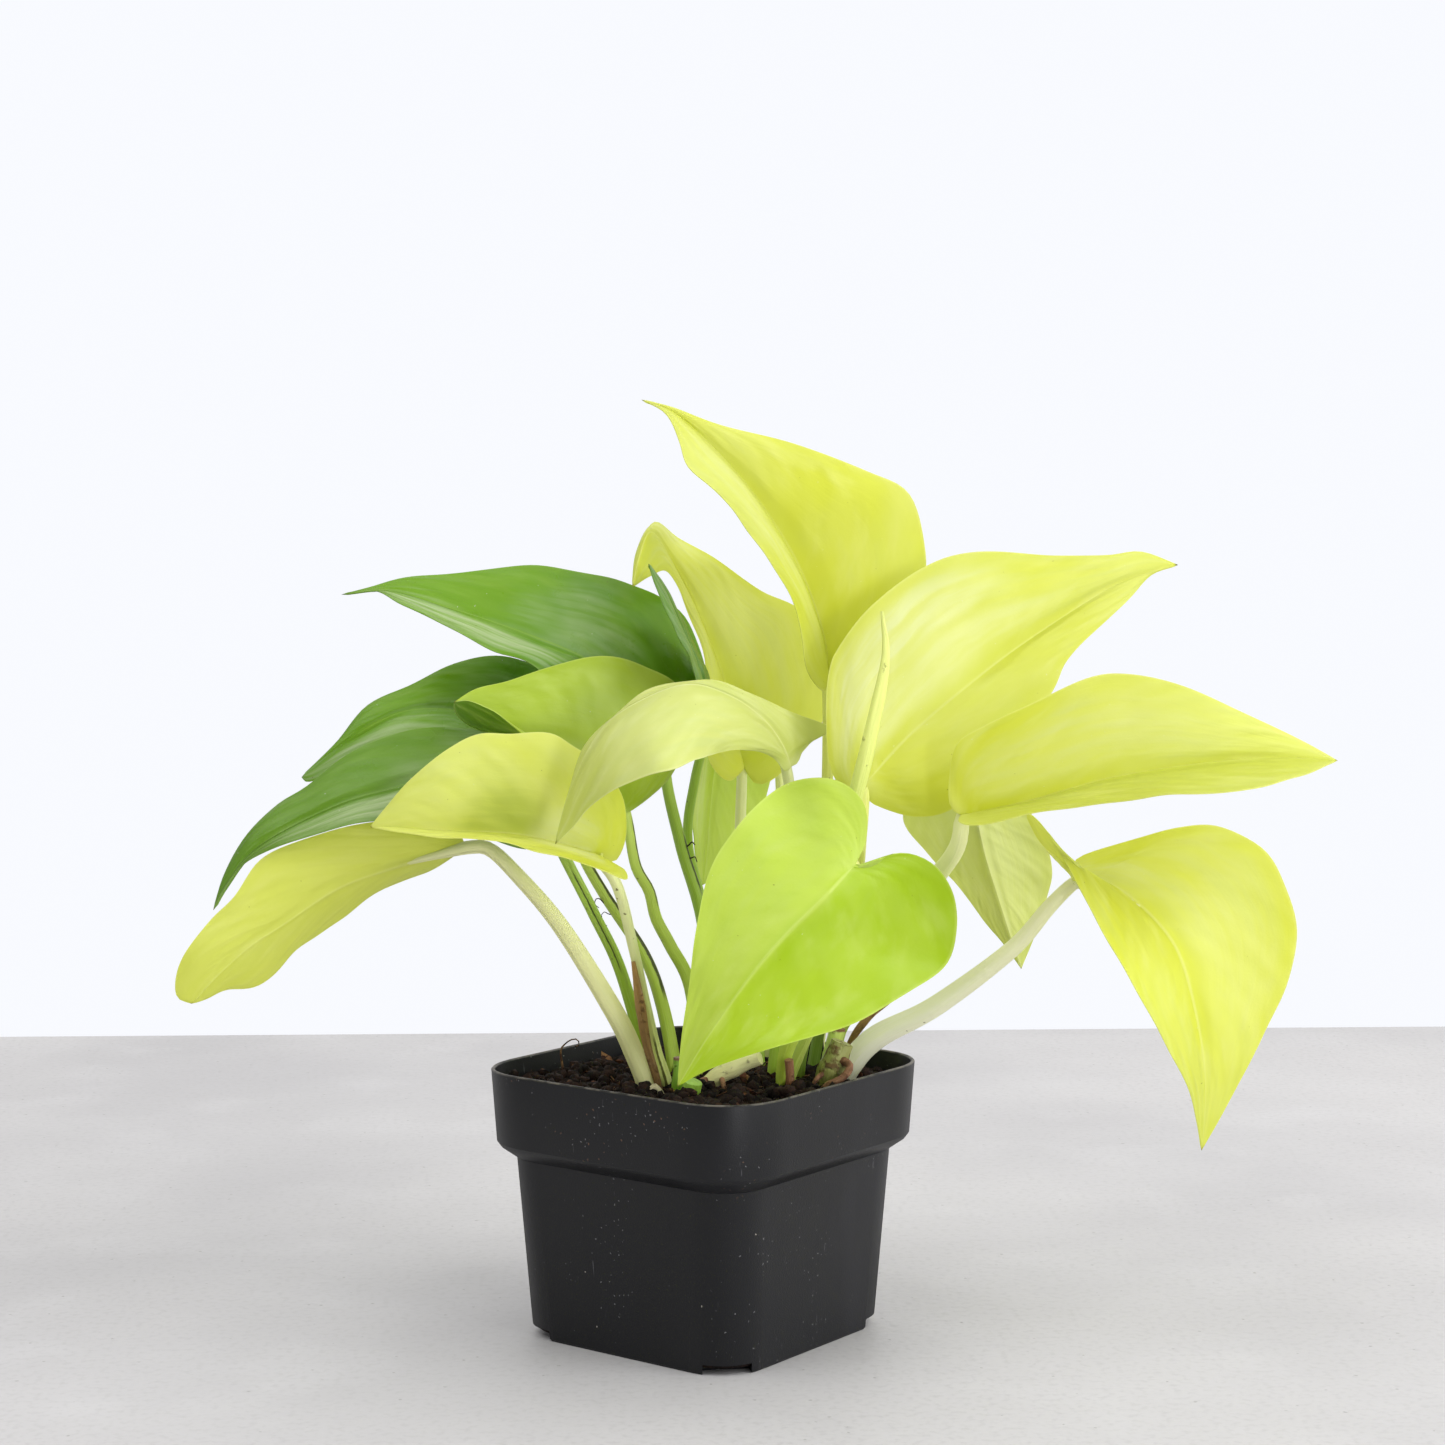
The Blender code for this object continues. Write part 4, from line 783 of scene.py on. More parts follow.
def root_material(dark=ROOT_DARK, warm=ROOT_WARM):
    """Bark of an aerial root, darker to its tip."""
    skin = Recipe("root_skin", roughness=0.75)
    along, _ = skin.uv()
    tone = skin.blend(skin.remap(skin.noise(420.0, 4.0), 0.35, 0.65), dark, warm)
    tone = skin.blend(skin.remap(along, 0.75, 1.0), tone, (0.22, 0.14, 0.10))
    skin.bump(skin.noise(900.0, 4.0), 0.0004)
    return skin.finish(tone)


def pot_material():
    """Satin black moulded plastic with dust, tiny crumbs and a painted highlight along the top of the rim."""
    skin = Recipe("pot_plastic_worn_rim_highlight")
    turned = skin.tree.nodes.new("ShaderNodeLayerWeight")
    shine = skin.remap(turned.outputs["Facing"], 0.5, 1.0, 0.36, 0.0)
    skin.plug(skin.shader.inputs["Specular IOR Level"], shine)
    cloud = skin.remap(skin.noise(24.0, 4.0), 0.3, 0.75)
    tone = skin.blend(cloud, (0.022, 0.026, 0.040), (0.042, 0.047, 0.066))
    smear = skin.noise(30.0, 5.0, stretch=(1.0, 1.0, 0.18))
    tone = skin.blend(skin.remap(smear, 0.58, 0.85, 0.0, 0.18), tone, (0.24, 0.24, 0.28))
    # Painted highlight: a thin pale band along the rim's top, broken by noise
    rim = skin.remap(skin.height(), (POT_HEIGHT - 0.5) * MM, (POT_HEIGHT - 0.1) * MM)
    rim_highlight = skin.remap(skin.noise(260.0, 4.0), 0.35, 0.65, 0.05, 0.6)
    tone = skin.blend(skin.calc("MULTIPLY", rim, rim_highlight), tone, (0.50, 0.47, 0.44))
    clusters = skin.remap(skin.noise(55.0, 3.0), 0.50, 0.66)
    dots = skin.calc("MULTIPLY", skin.specks(760.0, 0.30, 0.22), clusters)
    tone = skin.blend(skin.calc("MULTIPLY", dots, 0.8), tone, (0.46, 0.46, 0.47))
    scratches = skin.remap(skin.noise(900.0, 2.0, stretch=(1.0, 1.0, 0.10)), 0.70, 0.76)
    scratches = skin.calc("MULTIPLY", scratches, skin.calc("MULTIPLY", clusters, 0.5))
    tone = skin.blend(scratches, tone, (0.42, 0.42, 0.44))
    tone = skin.blend(skin.specks(330.0, 0.02, 0.12), tone, (0.60, 0.58, 0.55))
    near_step = skin.remap(skin.height(), (BODY_TOP - 6.0) * MM, (COLLAR_BOTTOM + 5.0) * MM)
    peat = skin.calc("MULTIPLY", skin.calc("MULTIPLY", skin.specks(620.0, 0.22, 0.24), clusters), near_step)
    tone = skin.blend(peat, tone, (0.36, 0.27, 0.21))
    grain = skin.calc("ADD", skin.noise(2600.0, 2.0), skin.calc("MULTIPLY", smear, 0.6))
    skin.bump(grain, 0.00006)
    return skin.finish(tone, skin.remap(cloud, 0.0, 1.0, 0.36, 0.44))


def earth_material(name, dark, warm, pale, share=0.25):
    """Peat, bark or fibre: every few millimetres another brown."""
    skin = Recipe(name, roughness=0.92, Specular_IOR_Level=0.25)
    value = skin.tree.nodes.new("ShaderNodeSeparateColor")
    skin.tree.links.new(skin.cells(330.0, "Color"), value.inputs[0])
    tone = skin.blend(skin.remap(value.outputs[0], 0.2, 0.9), dark, warm)
    tone = skin.blend(skin.remap(value.outputs[1], 1.0 - share, 1.0), tone, pale)
    tone = skin.blend(skin.remap(skin.noise(900.0, 4.0), 0.4, 0.75, 0.0, 0.6), tone, dark)
    skin.bump(skin.noise(1400.0, 5.0), 0.0006)
    return skin.finish(tone)


def floor_material():
    """Pale smooth concrete with soft clouds and fine grain."""
    skin = Recipe("floor_concrete", roughness=0.6, Specular_IOR_Level=0.3)
    clouds = skin.remap(skin.noise(4.0, 7.0), 0.32, 0.68)
    tone = skin.blend(clouds, (0.705, 0.699, 0.705), (0.750, 0.743, 0.745))
    patches = skin.remap(skin.noise(22.0, 5.0), 0.5, 0.7, 0.0, 0.35)
    tone = skin.blend(patches, tone, (0.76, 0.755, 0.76))
    tone = skin.blend(skin.remap(skin.noise(420.0, 3.0), 0.45, 0.75, 0.0, 0.4), tone, (0.65, 0.645, 0.645))
    tone = skin.blend(skin.specks(260.0, 0.10, 0.16), tone, (0.60, 0.595, 0.59))
    skin.bump(skin.noise(260.0, 4.0), 0.0002)
    return skin.finish(tone, skin.remap(skin.noise(12.0, 4.0), 0.3, 0.7, 0.45, 0.65))


def joined(*shapes):
    """Several shapes, each (points, faces, slots, uvs), as one."""
    points, faces, slots, uvs = [], [], [], []
    start = 0
    for shape in shapes:
        points.append(shape[0])
        faces += [tuple(corner + start for corner in face) for face in shape[1]]
        slots += shape[2]
        uvs.append(shape[3])
        start += len(shape[0])
    return np.vstack(points), faces, slots, np.vstack(uvs)


def add_piece(name, shape, materials, record_slot, *nodes, crease=40.0):
    """A smooth piece from a shape in millimetres, riding on the body."""
    points, faces, slots, uvs = shape
    mesh = bpy.data.meshes.new(name)
    mesh.from_pydata(np.asarray(points) * MM, [], faces)
    for material in materials:
        mesh.materials.append(material)
    mesh.polygons.foreach_set("material_index", slots)
    corners = np.empty(len(mesh.loops), np.int32)
    mesh.loops.foreach_get("vertex_index", corners)
    mesh.uv_layers.new(name="Form").data.foreach_set("uv", np.asarray(uvs)[corners].ravel())
    shaped = bmesh.new()
    shaped.from_mesh(mesh)
    bmesh.ops.recalc_face_normals(shaped, faces=shaped.faces)
    shaped.to_mesh(mesh)
    shaped.free()
    mesh.shade_smooth()
    mesh.set_sharp_from_angle(angle=math.radians(crease))
    piece = bpy.data.objects.new(name, mesh)
    bpy.context.scene.collection.objects.link(piece)
    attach(piece, "root")
    if nodes:
        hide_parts(*nodes)
    return piece


def smooth_curve(points, shares):
    """Points at these shares of the length of a smooth curve through the given points."""
    given = np.asarray(points, float)
    ends = 2 * given[[0, -1]] - given[[1, -2]]
    padded = np.vstack([ends[:1], given, ends[1:]])
    steps = np.linspace(0, 1, 24, endpoint=False)[:, None]
    dense = []
    for a, b, c, d in zip(padded, padded[1:], padded[2:], padded[3:]):
        cubic = (3 * b - a - 3 * c + d) * steps**3
        dense.append(0.5 * (2 * b + (c - a) * steps + (2 * a - 5 * b + 4 * c - d) * steps**2 + cubic))
    dense = np.vstack(dense + [given[-1:]])
    run = np.append(0, np.cumsum(np.linalg.norm(np.diff(dense, axis=0), axis=1)))
    reach = np.asarray(shares) * run[-1]
    return np.stack([np.interp(reach, run, dense[:, axis]) for axis in range(3)], axis=1)


def unit(vectors):
    return vectors / (np.linalg.norm(vectors, axis=-1, keepdims=True) + 1e-9)


def blade_rows():
    """Shares of the margin and of the midrib that each crosswise row of a blade joins."""
    fan = np.linspace(0, 1, FAN_ROWS + 1)
    rest = np.linspace(0, 1, LENGTH_ROWS + 1)[1:]
    margin = np.append(fan * FAN_SHARE, FAN_SHARE + rest * (1 - FAN_SHARE))
    midrib = np.append(fan * FAN_RIB_SHARE, FAN_RIB_SHARE + rest * (1 - FAN_RIB_SHARE))
    return margin, midrib


def half_blade(leaf, side, dome, turn, draw):
    """Rows of points from the midrib to one margin, domed across and slightly rippled."""
    margin_shares, midrib_shares = blade_rows()
    midrib = smooth_curve(leaf["rib"], midrib_shares)
    margin = smooth_curve([leaf["rib"][0], *leaf[side], leaf["rib"][-1]], margin_shares)
    across = margin - midrib
    normal = turn * unit(np.cross(np.gradient(margin, axis=0) + np.gradient(midrib, axis=0), across))
    share = (np.linspace(0, 1, HALF_COLUMNS + 1) ** COLUMN_POWER)[None, :, None]
    rise = dome * 4 * share * (1 - share) * np.linalg.norm(across, axis=1)[:, None, None]
    along = margin_shares[:, None, None]
    waves = np.sin(2 * math.pi * (draw.uniform(2.5, 4.0) * along + draw.random()))
    turns = draw.uniform(6.0, 8.0) * along + draw.random() + 0.4 * share
    waves = waves + 0.6 * np.sin(2 * math.pi * turns)
    rise = rise + RIPPLE * waves * share**2 * np.sin(math.pi * along)
    rows = midrib[:, None] + across[:, None] * share + normal[:, None] * rise
    reach = np.linalg.norm(across, axis=1)[:, None] * share[:, :, 0]
    return rows, reach


def blade_shape(leaf, draw):
    """Both faces of a blade: a sunk midrib above, a raised one below, and a thin margin."""
    left, left_reach = half_blade(leaf, "left", leaf["cup"][0], 1.0, draw)
    right, right_reach = half_blade(leaf, "right", leaf["cup"][1], -1.0, draw)
    grid = np.concatenate([left[:, :0:-1], right], axis=1)
    reach = np.concatenate([left_reach[:, :0:-1], right_reach], axis=1)
    along_row = np.gradient(grid, axis=1)
    along_rib = np.gradient(grid, axis=0)
    normals = unit(np.cross(along_row, along_rib))[1:-1]
    upper = -1.0 if leaf.get("underside") else 1.0
    rows, reach = grid[1:-1], reach[1:-1]
    count, columns = rows.shape[:2]

    margin_shares = blade_rows()[0][1:-1]
    span = np.abs(np.linspace(-1, 1, columns))
    thickness = BLADE * (1 - (1 - EDGE_SHARE) * span[None, :] ** 8) * np.ones((count, 1))
    rib_radius = leaf["stalk"][-1] * 0.8 * (1 - margin_shares) ** 0.7 + RIB_TIP_RADIUS
    ridge = 0.8 * rib_radius[:, None] * np.exp(-((reach / (0.95 * rib_radius[:, None])) ** 2))
    groove = GROOVE_DEPTH * (1 - margin_shares[:, None]) * np.exp(-((reach / GROOVE_WIDTH) ** 2))
    top = rows + normals * upper * (thickness / 2 - groove)[..., None]
    bottom = rows - normals * upper * (thickness / 2 + ridge)[..., None]

    base, tip = grid[0, 0], grid[-1, 0]
    side_share = 0.5 + 0.5 * np.sign(np.linspace(-1, 1, columns)) * span**COLUMN_POWER
    inner = np.stack(np.broadcast_arrays(margin_shares[:, None], side_share[None, :]), axis=-1)
    uvs = np.vstack([[(0.0, 0.5)], inner.reshape(-1, 2), [(1.0, 0.5)]])
    points, faces, slots = [], [], []
    size = 2 + count * columns
    for layer, sheet in enumerate((top, bottom)):
        points += [base, *sheet.reshape(-1, 3), tip]
        first = 1 + layer * size
        for column in range(columns - 1):
            last = first + (count - 1) * columns + column
            faces += [(first - 1, first + column, first + column + 1),
                      (last, first + count * columns, last + 1)]
        for row in range(count - 1):
            for column in range(columns - 1):
                here = first + row * columns + column
                faces.append((here, here + columns, here + columns + 1, here + 1))
        slots += [layer] * (len(faces) - len(slots))
    for edge in (0, columns - 1):
        ring = [0, *(1 + row * columns + edge for row in range(count)), size - 1]
        for a, b in zip(ring, ring[1:]):
            faces.append((a, b, b + size, a + size))
            slots.append(0)
    middle = upper * normals[:, columns // 2]
    return (np.array(points), faces, slots, np.vstack([uvs, uvs])), middle


def tube_shape(path, radii, sides, reference, slot, profile=None):
    """A round tube along a path. The profile scales each ring at its share and angle."""
    tangents = unit(np.gradient(path, axis=0))
    facing = reference
    points, uvs = [], []
    angles = np.linspace(0, 2 * math.pi, sides, endpoint=False)
    for index, (centre, radius, tangent) in enumerate(zip(path, radii, tangents)):
        facing = unit(facing - tangent * np.dot(facing, tangent))
        beside = np.cross(tangent, facing)
        share = index / (len(path) - 1)
        scale = radius * (profile(share, angles) if profile else np.ones(sides))
        around = np.cos(angles)[:, None] * facing + np.sin(angles)[:, None] * beside
        ring = centre + scale[:, None] * around
        points.append(ring)
        uvs.append(np.stack([np.full(sides, share), angles / (2 * math.pi)], axis=1))
    faces = [tuple(range(sides))]
    for ring in range(len(path) - 1):
        for corner in range(sides):
            here = ring * sides + corner
            beside = ring * sides + (corner + 1) % sides
            faces.append((here, beside, beside + sides, here + sides))
    faces.append(tuple(range((len(path) - 1) * sides, len(path) * sides)))
    return np.vstack(points), faces, [slot] * len(faces), np.vstack(uvs)


def spread(values, count):
    """This many values, evenly read along a short list."""
    return np.interp(np.linspace(0, 1, count), np.linspace(0, 1, len(values)), values)


def stalk_profile(share, angles):
    """A petiole seen in section: a groove above, with two low wings near the soil."""
    turned = (angles + math.pi) % (2 * math.pi) - math.pi
    wings = max(0.0, 1 - share / WING_NARROWS)
    groove = 0.20 * np.exp(-((turned / 0.45) ** 2)) * min(1.0, 4 * (1 - share))
    return 1 - groove + 0.16 * wings * np.exp(-(((np.abs(turned) - 0.85) / 0.3) ** 2))


def stalk_shape(leaf, middle):
    """The stalk from the blade to the soil, its groove turned to the blade's upper face."""
    from_blade = np.linspace(1, 0, STALK_SEGMENTS + 1)
    stalk = smooth_curve([*leaf["petiole"], leaf["rib"][0]], from_blade)
    radii = spread(leaf["stalk"], STALK_SEGMENTS + 1)[::-1]
    shares = RIB_ROOT_SHARE * np.linspace(1, 0.06, RIB_ROOT_ROWS)
    under = smooth_curve(leaf["rib"], shares)
    root_radii = np.interp(shares, [0, 0.1, RIB_ROOT_SHARE], [radii[0], radii[0] * 0.6, RIB_TIP_RADIUS])
    facing = unit(middle[: len(middle) // 3].mean(axis=0))
    under = under - facing * (root_radii - 0.1)[:, None]
    from_joint = np.linalg.norm(stalk - stalk[0], axis=1)
    stalk = stalk - facing * (radii[0] * np.exp(-from_joint / JOINT_REACH))[:, None]
    path = np.vstack([under, stalk])
    start = unit(path[RIB_ROOT_ROWS] - path[RIB_ROOT_ROWS - 2])
    right = unit(RIGHT - start * np.dot(RIGHT, start))
    turn = math.atan2(np.dot(facing, np.cross(start, right)), np.dot(facing, right))
    return tube_shape(path, np.append(root_radii, radii), STALK_SIDES, RIGHT, 2,
                      lambda share, angles: stalk_profile(1 - share, angles - turn))


def turned_uv(shape):
    """The same shape with its along coordinate counted from the soil."""
    points, faces, slots, uvs = shape
    return points, faces, slots, np.stack([1 - uvs[:, 0], uvs[:, 1]], axis=1)


def hair_shape(radius, route, slot):
    """A fine root that thins to its free end."""
    path = smooth_curve(route, np.linspace(0, 1, HAIR_ROWS))
    radii = np.linspace(radius, radius * 0.5, HAIR_ROWS)
    return tube_shape(path, radii, HAIR_SIDES, np.array((0, 0, 1.0)), slot)


def add_leaves(draw):
    hair = root_material(HAIR_DARK, HAIR_WARM)
    for node, leaf in LEAVES.items():
        blade, middle = blade_shape(leaf, draw)
        whole = joined(blade, turned_uv(stalk_shape(leaf, middle)))
        look = OWN_LOOKS.get(node, leaf["kind"])
        skins = [leaf_material(node, look, "upper"), leaf_material(node, look, "under"),
                 stalk_material(node, look), hair]
        strands = [hair_shape(radius, route, 3) for owner, radius, route in HAIRS if owner == node]
        whole = joined(whole, *strands)
        add_piece(f"{node}_detailed", whole, skins, f"leaf_{leaf['kind']}", node)


def knobbly(share, angles):
    """A vine stem in section, uneven, with a swollen ring where a leaf once grew."""
    swell = 0.10 * math.exp(-(((share - 0.72) / 0.05) ** 2))
    return 1 + swell + 0.05 * np.sin(3 * angles + 9 * share) + 0.03 * np.sin(7 * angles - 21 * share)


def rolled(share, angles):
    """A furled blade in section: one edge laps over, and the lap winds round upward."""
    turned = (angles + 2.2 * share) / (2 * math.pi) % 1.0
    return 0.90 + 0.22 * turned * min(1.0, 3 * share)


def papery(share, angles):
    """A dry sheath in section: a thin creased strip that widens and frays at its end."""
    flat = 1.15 - 0.55 * np.sin(angles) ** 2
    return flat + (0.04 + 0.12 * share) * np.sin(5 * angles + 14 * share)


PROFILES = {"furled_leaf": rolled, "sheath_left": papery, "sheath_right": papery, "sheath_back": papery}


def root_shape(radius, route):
    """A root that tapers from its stem to its end in the soil."""
    path = smooth_curve(route, np.linspace(0, 1, 16))
    radii = np.linspace(radius, radius * ROOT_TAPER, 16)
    return tube_shape(path, radii, 12, np.array((0, 0, 1.0)), 1, knobbly)


def add_stems():
    roots = root_material()
    for node, stem in STEMS.items():
        path = smooth_curve(stem["route"], np.linspace(0, 1, STEM_SEGMENTS + 1))
        radii = spread(stem["radii"], STEM_SEGMENTS + 1)
        shapes = [tube_shape(path, radii, STEM_SIDES, RIGHT, 0, PROFILES.get(node, knobbly))]
        shapes += [root_shape(*root) for root in stem.get("roots", ())]
        slot = "leaf_neon" if node == "furled_leaf" else "sheath" if stem["kind"] == "sheath" else "stem"
        skins = [stem_material(node), roots]
        add_piece(f"{node}_detailed", joined(*shapes), skins, slot, node, crease=55.0)


def corner_bend():
    """Points of a quarter bend from (1, 0) to (0, 1), gentle where it leaves the flats."""
    shares = (np.arange(CORNER_STEPS) + 0.5) / CORNER_STEPS
    heading = math.pi / 2 * shares * shares * (3 - 2 * shares)
    run = np.cumsum(np.column_stack([-np.sin(heading), np.cos(heading)]), axis=0)
    return np.vstack([(0.0, 0.0), run / run[-1] * (-1, 1)]) + (1.0, 0.0)


def rounded_square(half, corner, height):
    """The outline of a turned rounded square at this height, with points along its flats."""
    reach = corner * CORNER_EASE
    straight = half - reach
    bend = straight + reach * corner_bend()
    along = np.column_stack([np.full(len(FLAT_SHARES), half), straight * (2 * np.array(FLAT_SHARES) - 1)])
    quarter = np.vstack([along, bend])
    points = [quarter @ np.array([[math.cos(turn), math.sin(turn)], [-math.sin(turn), math.cos(turn)]])
              for turn in np.arange(4) * math.pi / 2]
    flat = np.vstack(points)
    return turned_points(np.column_stack([flat, np.full(len(flat), height)]))


def turned_points(flat):
    """The same points turned with the pot."""
    cos_turn, sin_turn = math.cos(POT_TURN), math.sin(POT_TURN)
    x = flat[:, 0] * cos_turn - flat[:, 1] * sin_turn
    y = flat[:, 0] * sin_turn + flat[:, 1] * cos_turn
    return np.stack([x, y, flat[:, 2]], axis=1)


def stacked(rings):
    """A closed shape through a list of outlines, capped at both ends."""
    size = len(rings[0])
    faces = [tuple(range(size))]
    for level in range(len(rings) - 1):
        for corner in range(size):
            here = level * size + corner
            beside = level * size + (corner + 1) % size
            faces.append((here, beside, beside + size, here + size))
    faces.append(tuple(range((len(rings) - 1) * size, len(rings) * size)))
    points = np.vstack(rings)
    return points, faces, [0] * len(faces), points[:, :2] * MM


def pot_cutters():
    """Solids for the four corner slots and the four drain holes."""
    made = []
    corner_reach = math.sqrt(2) * (BASE_HALF - BASE_CORNER) + BASE_CORNER
    for quarter in range(4):
        angle = POT_TURN + math.pi / 4 + quarter * math.pi / 2
        reach = (corner_reach - SLOT_DEPTH / 2 + SLOT_OUT) * MM
        bpy.ops.mesh.primitive_cube_add(
            size=1.0, location=(reach * math.cos(angle), reach * math.sin(angle), 0), rotation=(0, 0, angle)
        )
        made.append(bpy.context.object)
        made[-1].scale = (SLOT_DEPTH * MM, SLOT_CHORDS[quarter % 2] * MM, 2 * SLOT_HEIGHT * MM)
        angle += math.pi / 4
        reach = DRAIN_REACH * MM
        bpy.ops.mesh.primitive_cylinder_add(
            vertices=40, radius=DRAIN_RADIUS * MM, depth=4 * FLOOR * MM,
            location=(reach * math.cos(angle), reach * math.sin(angle), 0)
        )
        made.append(bpy.context.object)
    return made


def applied(piece):
    """Applies the piece's modifiers to its mesh."""
    graph = bpy.context.evaluated_depsgraph_get()
    result = bpy.data.meshes.new_from_object(piece.evaluated_get(graph))
    piece.modifiers.clear()
    piece.data = result


def add_pot():
    inner_rim = RIM_HALF - WALL
    outside = [
        (BASE_HALF - FOOT_INSET, BASE_CORNER - FOOT_INSET, 0.0),
        (BASE_HALF, BASE_CORNER, FOOT_HEIGHT),
        (BODY_HALF, BODY_CORNER, BODY_TOP),
        (RIM_HALF - COLLAR_TAPER - STEP_INSET, RIM_CORNER - STEP_INSET, COLLAR_BOTTOM - STEP_HEIGHT),
        (RIM_HALF - COLLAR_TAPER, RIM_CORNER, COLLAR_BOTTOM),
        (RIM_HALF, RIM_CORNER, POT_HEIGHT - LIP),
    ]
    inside = [
        (RIM_HALF - LIP, RIM_CORNER - LIP, POT_HEIGHT),
        (inner_rim + LIP, RIM_CORNER - WALL + LIP, POT_HEIGHT),
        (inner_rim, RIM_CORNER - WALL, POT_HEIGHT - LIP),
        (inner_rim - COLLAR_TAPER, RIM_CORNER - WALL, COLLAR_BOTTOM + INNER_STEP_RISE),
        (BODY_HALF - WALL, BODY_CORNER - WALL, BODY_TOP - INNER_STEP_DROP),
        (BASE_HALF - WALL, BASE_CORNER - WALL, FLOOR),
    ]
    shape = stacked([rounded_square(*ring) for ring in outside + inside])
    pot = add_piece("pot_detailed", shape, [pot_material()], "pot_plastic", "pot", crease=35.0)
    group = bpy.data.collections.new("cutters")
    bpy.context.scene.collection.children.link(group)
    cutters = pot_cutters()
    for cutter in cutters:
        for holder in list(cutter.users_collection):
            holder.objects.unlink(cutter)
        group.objects.link(cutter)
    cut = pot.modifiers.new("cut", "BOOLEAN")
    cut.operation = "DIFFERENCE"
    cut.operand_type = "COLLECTION"
    cut.collection = group
    soften = pot.modifiers.new("soften", "BEVEL")
    soften.width = POT_BEVEL * MM
    soften.segments = 2
    soften.angle_limit = math.radians(32)
    applied(pot)
    pot.data.set_sharp_from_angle(angle=math.radians(35))
    for cutter in cutters:
        bpy.data.objects.remove(cutter, do_unlink=True)
    bpy.data.collections.remove(group)


def soil_height(x, y):
    """The soil's top in the CAD model: a low crown with clumps of several sizes."""
    height = SOIL_LEVEL - SOIL_FALL * y + SOIL_CROWN * np.exp(-(x * x + y * y) / CROWN_SPREAD)
    for rise, first, second in CLUMPS:
        across = np.sin(first[0] * x + first[1] * y + first[2])
        height = height + rise * across * np.cos(second[0] * x + second[1] * y + second[2])
    return height


def grain(x, y):
    """Rough crumbly relief on top of the CAD surface."""
    coarse = noise.fractal(Vector((0.35 * x, 0.35 * y, 3.0)), 0.9, 2.1, 4)
    return GRAIN_HEIGHT * coarse


def outline_reach(angle, half, corner):
    """How far a rounded square reaches from its middle at each angle."""
    x, y = np.abs(np.cos(angle)), np.abs(np.sin(angle))
    flat = half / np.maximum(x, y)
    centre = half - corner
    along = centre * (x + y)
    arc = along + np.sqrt(np.maximum(along**2 - (2 * centre**2 - corner**2), 0))
    on_flat = np.minimum(x, y) * flat <= centre
    return np.where(on_flat, flat, arc)


def soil_ring(half, corner, height):
    """An even ring of points on the outline of the turned rounded square."""
    angle = np.linspace(0, 2 * math.pi, SOIL_SPOKES, endpoint=False)
    reach = outline_reach(angle, half, corner)
    flat = np.stack([reach * np.cos(angle), reach * np.sin(angle), np.full(SOIL_SPOKES, height)], axis=1)
    return turned_points(flat)


def soil_edge():
    """Half size of the soil's outline at its top."""
    gap = WALL + CLEARANCE
    return RIM_HALF - gap - COLLAR_TAPER * (POT_HEIGHT - SOIL_LEVEL) / (POT_HEIGHT - COLLAR_BOTTOM)


def add_soil():
    gap = WALL + CLEARANCE
    rings = [
        soil_ring(BASE_HALF - gap, BASE_CORNER - gap, FLOOR + CLEARANCE),
        soil_ring(BODY_HALF - gap, BODY_CORNER - gap, BODY_TOP),
        soil_ring(RIM_HALF - gap - COLLAR_TAPER, RIM_CORNER - gap, COLLAR_BOTTOM + SOIL_SHOULDER),
    ]
    edge = soil_ring(soil_edge(), RIM_CORNER - gap, SOIL_LEVEL)
    for step in range(SOIL_STEPS):
        ring = edge * (1 - step / SOIL_STEPS, 1 - step / SOIL_STEPS, 1)
        ring[:, 2] = soil_height(ring[:, 0], ring[:, 1])
        ring[:, 2] += [grain(x, y) for x, y in ring[:, :2]]
        rings.append(ring)
    peat = earth_material("soil_peat", (0.07, 0.045, 0.036), (0.15, 0.09, 0.066), (0.22, 0.14, 0.09))
    add_piece("soil_detailed", stacked(rings), [peat], "soil", "soil", crease=80.0)


def soil_places(count, margin, draw):
    """Random places on the soil, this far inside its outline."""
    angle = draw.uniform(0, 2 * math.pi, count)
    reach = outline_reach(angle, soil_edge() - margin, RIM_CORNER - margin) * np.sqrt(draw.random(count))
    return turned_points(np.stack([reach * np.cos(angle), reach * np.sin(angle), np.zeros(count)], axis=1))


def random_turn(draw):
    """A random rotation as a matrix."""
    basis, _ = np.linalg.qr(draw.normal(size=(3, 3)))
    return basis


def lump_template():
    ball = bmesh.new()
    bmesh.ops.create_icosphere(ball, subdivisions=1, radius=1.0)
    points = np.array([vertex.co for vertex in ball.verts])
    faces = [tuple(vertex.index for vertex in face.verts) for face in ball.faces]
    ball.free()
    return points, faces


def lumps(count, margin, sizes, stretch, draw):
    """Irregular lumps half sunk in the soil."""
    ball, ball_faces = lump_template()
    shapes = []
    for x, y, _ in soil_places(count, margin, draw):
        size = sizes[0] + (sizes[1] - sizes[0]) * draw.random() ** 2.2
        uneven = ball * draw.uniform(0.7, 1.2, (len(ball), 1)) * (size * np.array(stretch))
        if stretch[2] < 0.5:
            tip = draw.normal(0, 0.45, 2)
            lean = np.array([[1, 0, 0], [0, 1, 0], [tip[0], tip[1], 1]])
            spin = draw.uniform(0, 2 * math.pi)
            flat_turn = np.array([[math.cos(spin), -math.sin(spin), 0],
                                  [math.sin(spin), math.cos(spin), 0],
                                  [0, 0, 1]])
            uneven = uneven @ lean.T @ flat_turn.T
        else:
            uneven = uneven @ random_turn(draw).T
        height = soil_height(x, y) + grain(x, y) + 0.25 * size * min(1.0, 2 * stretch[2])
        points = uneven + (x, y, height)
        shapes.append((points, ball_faces, [0] * len(ball_faces), points[:, :2] * MM))
    return joined(*shapes)


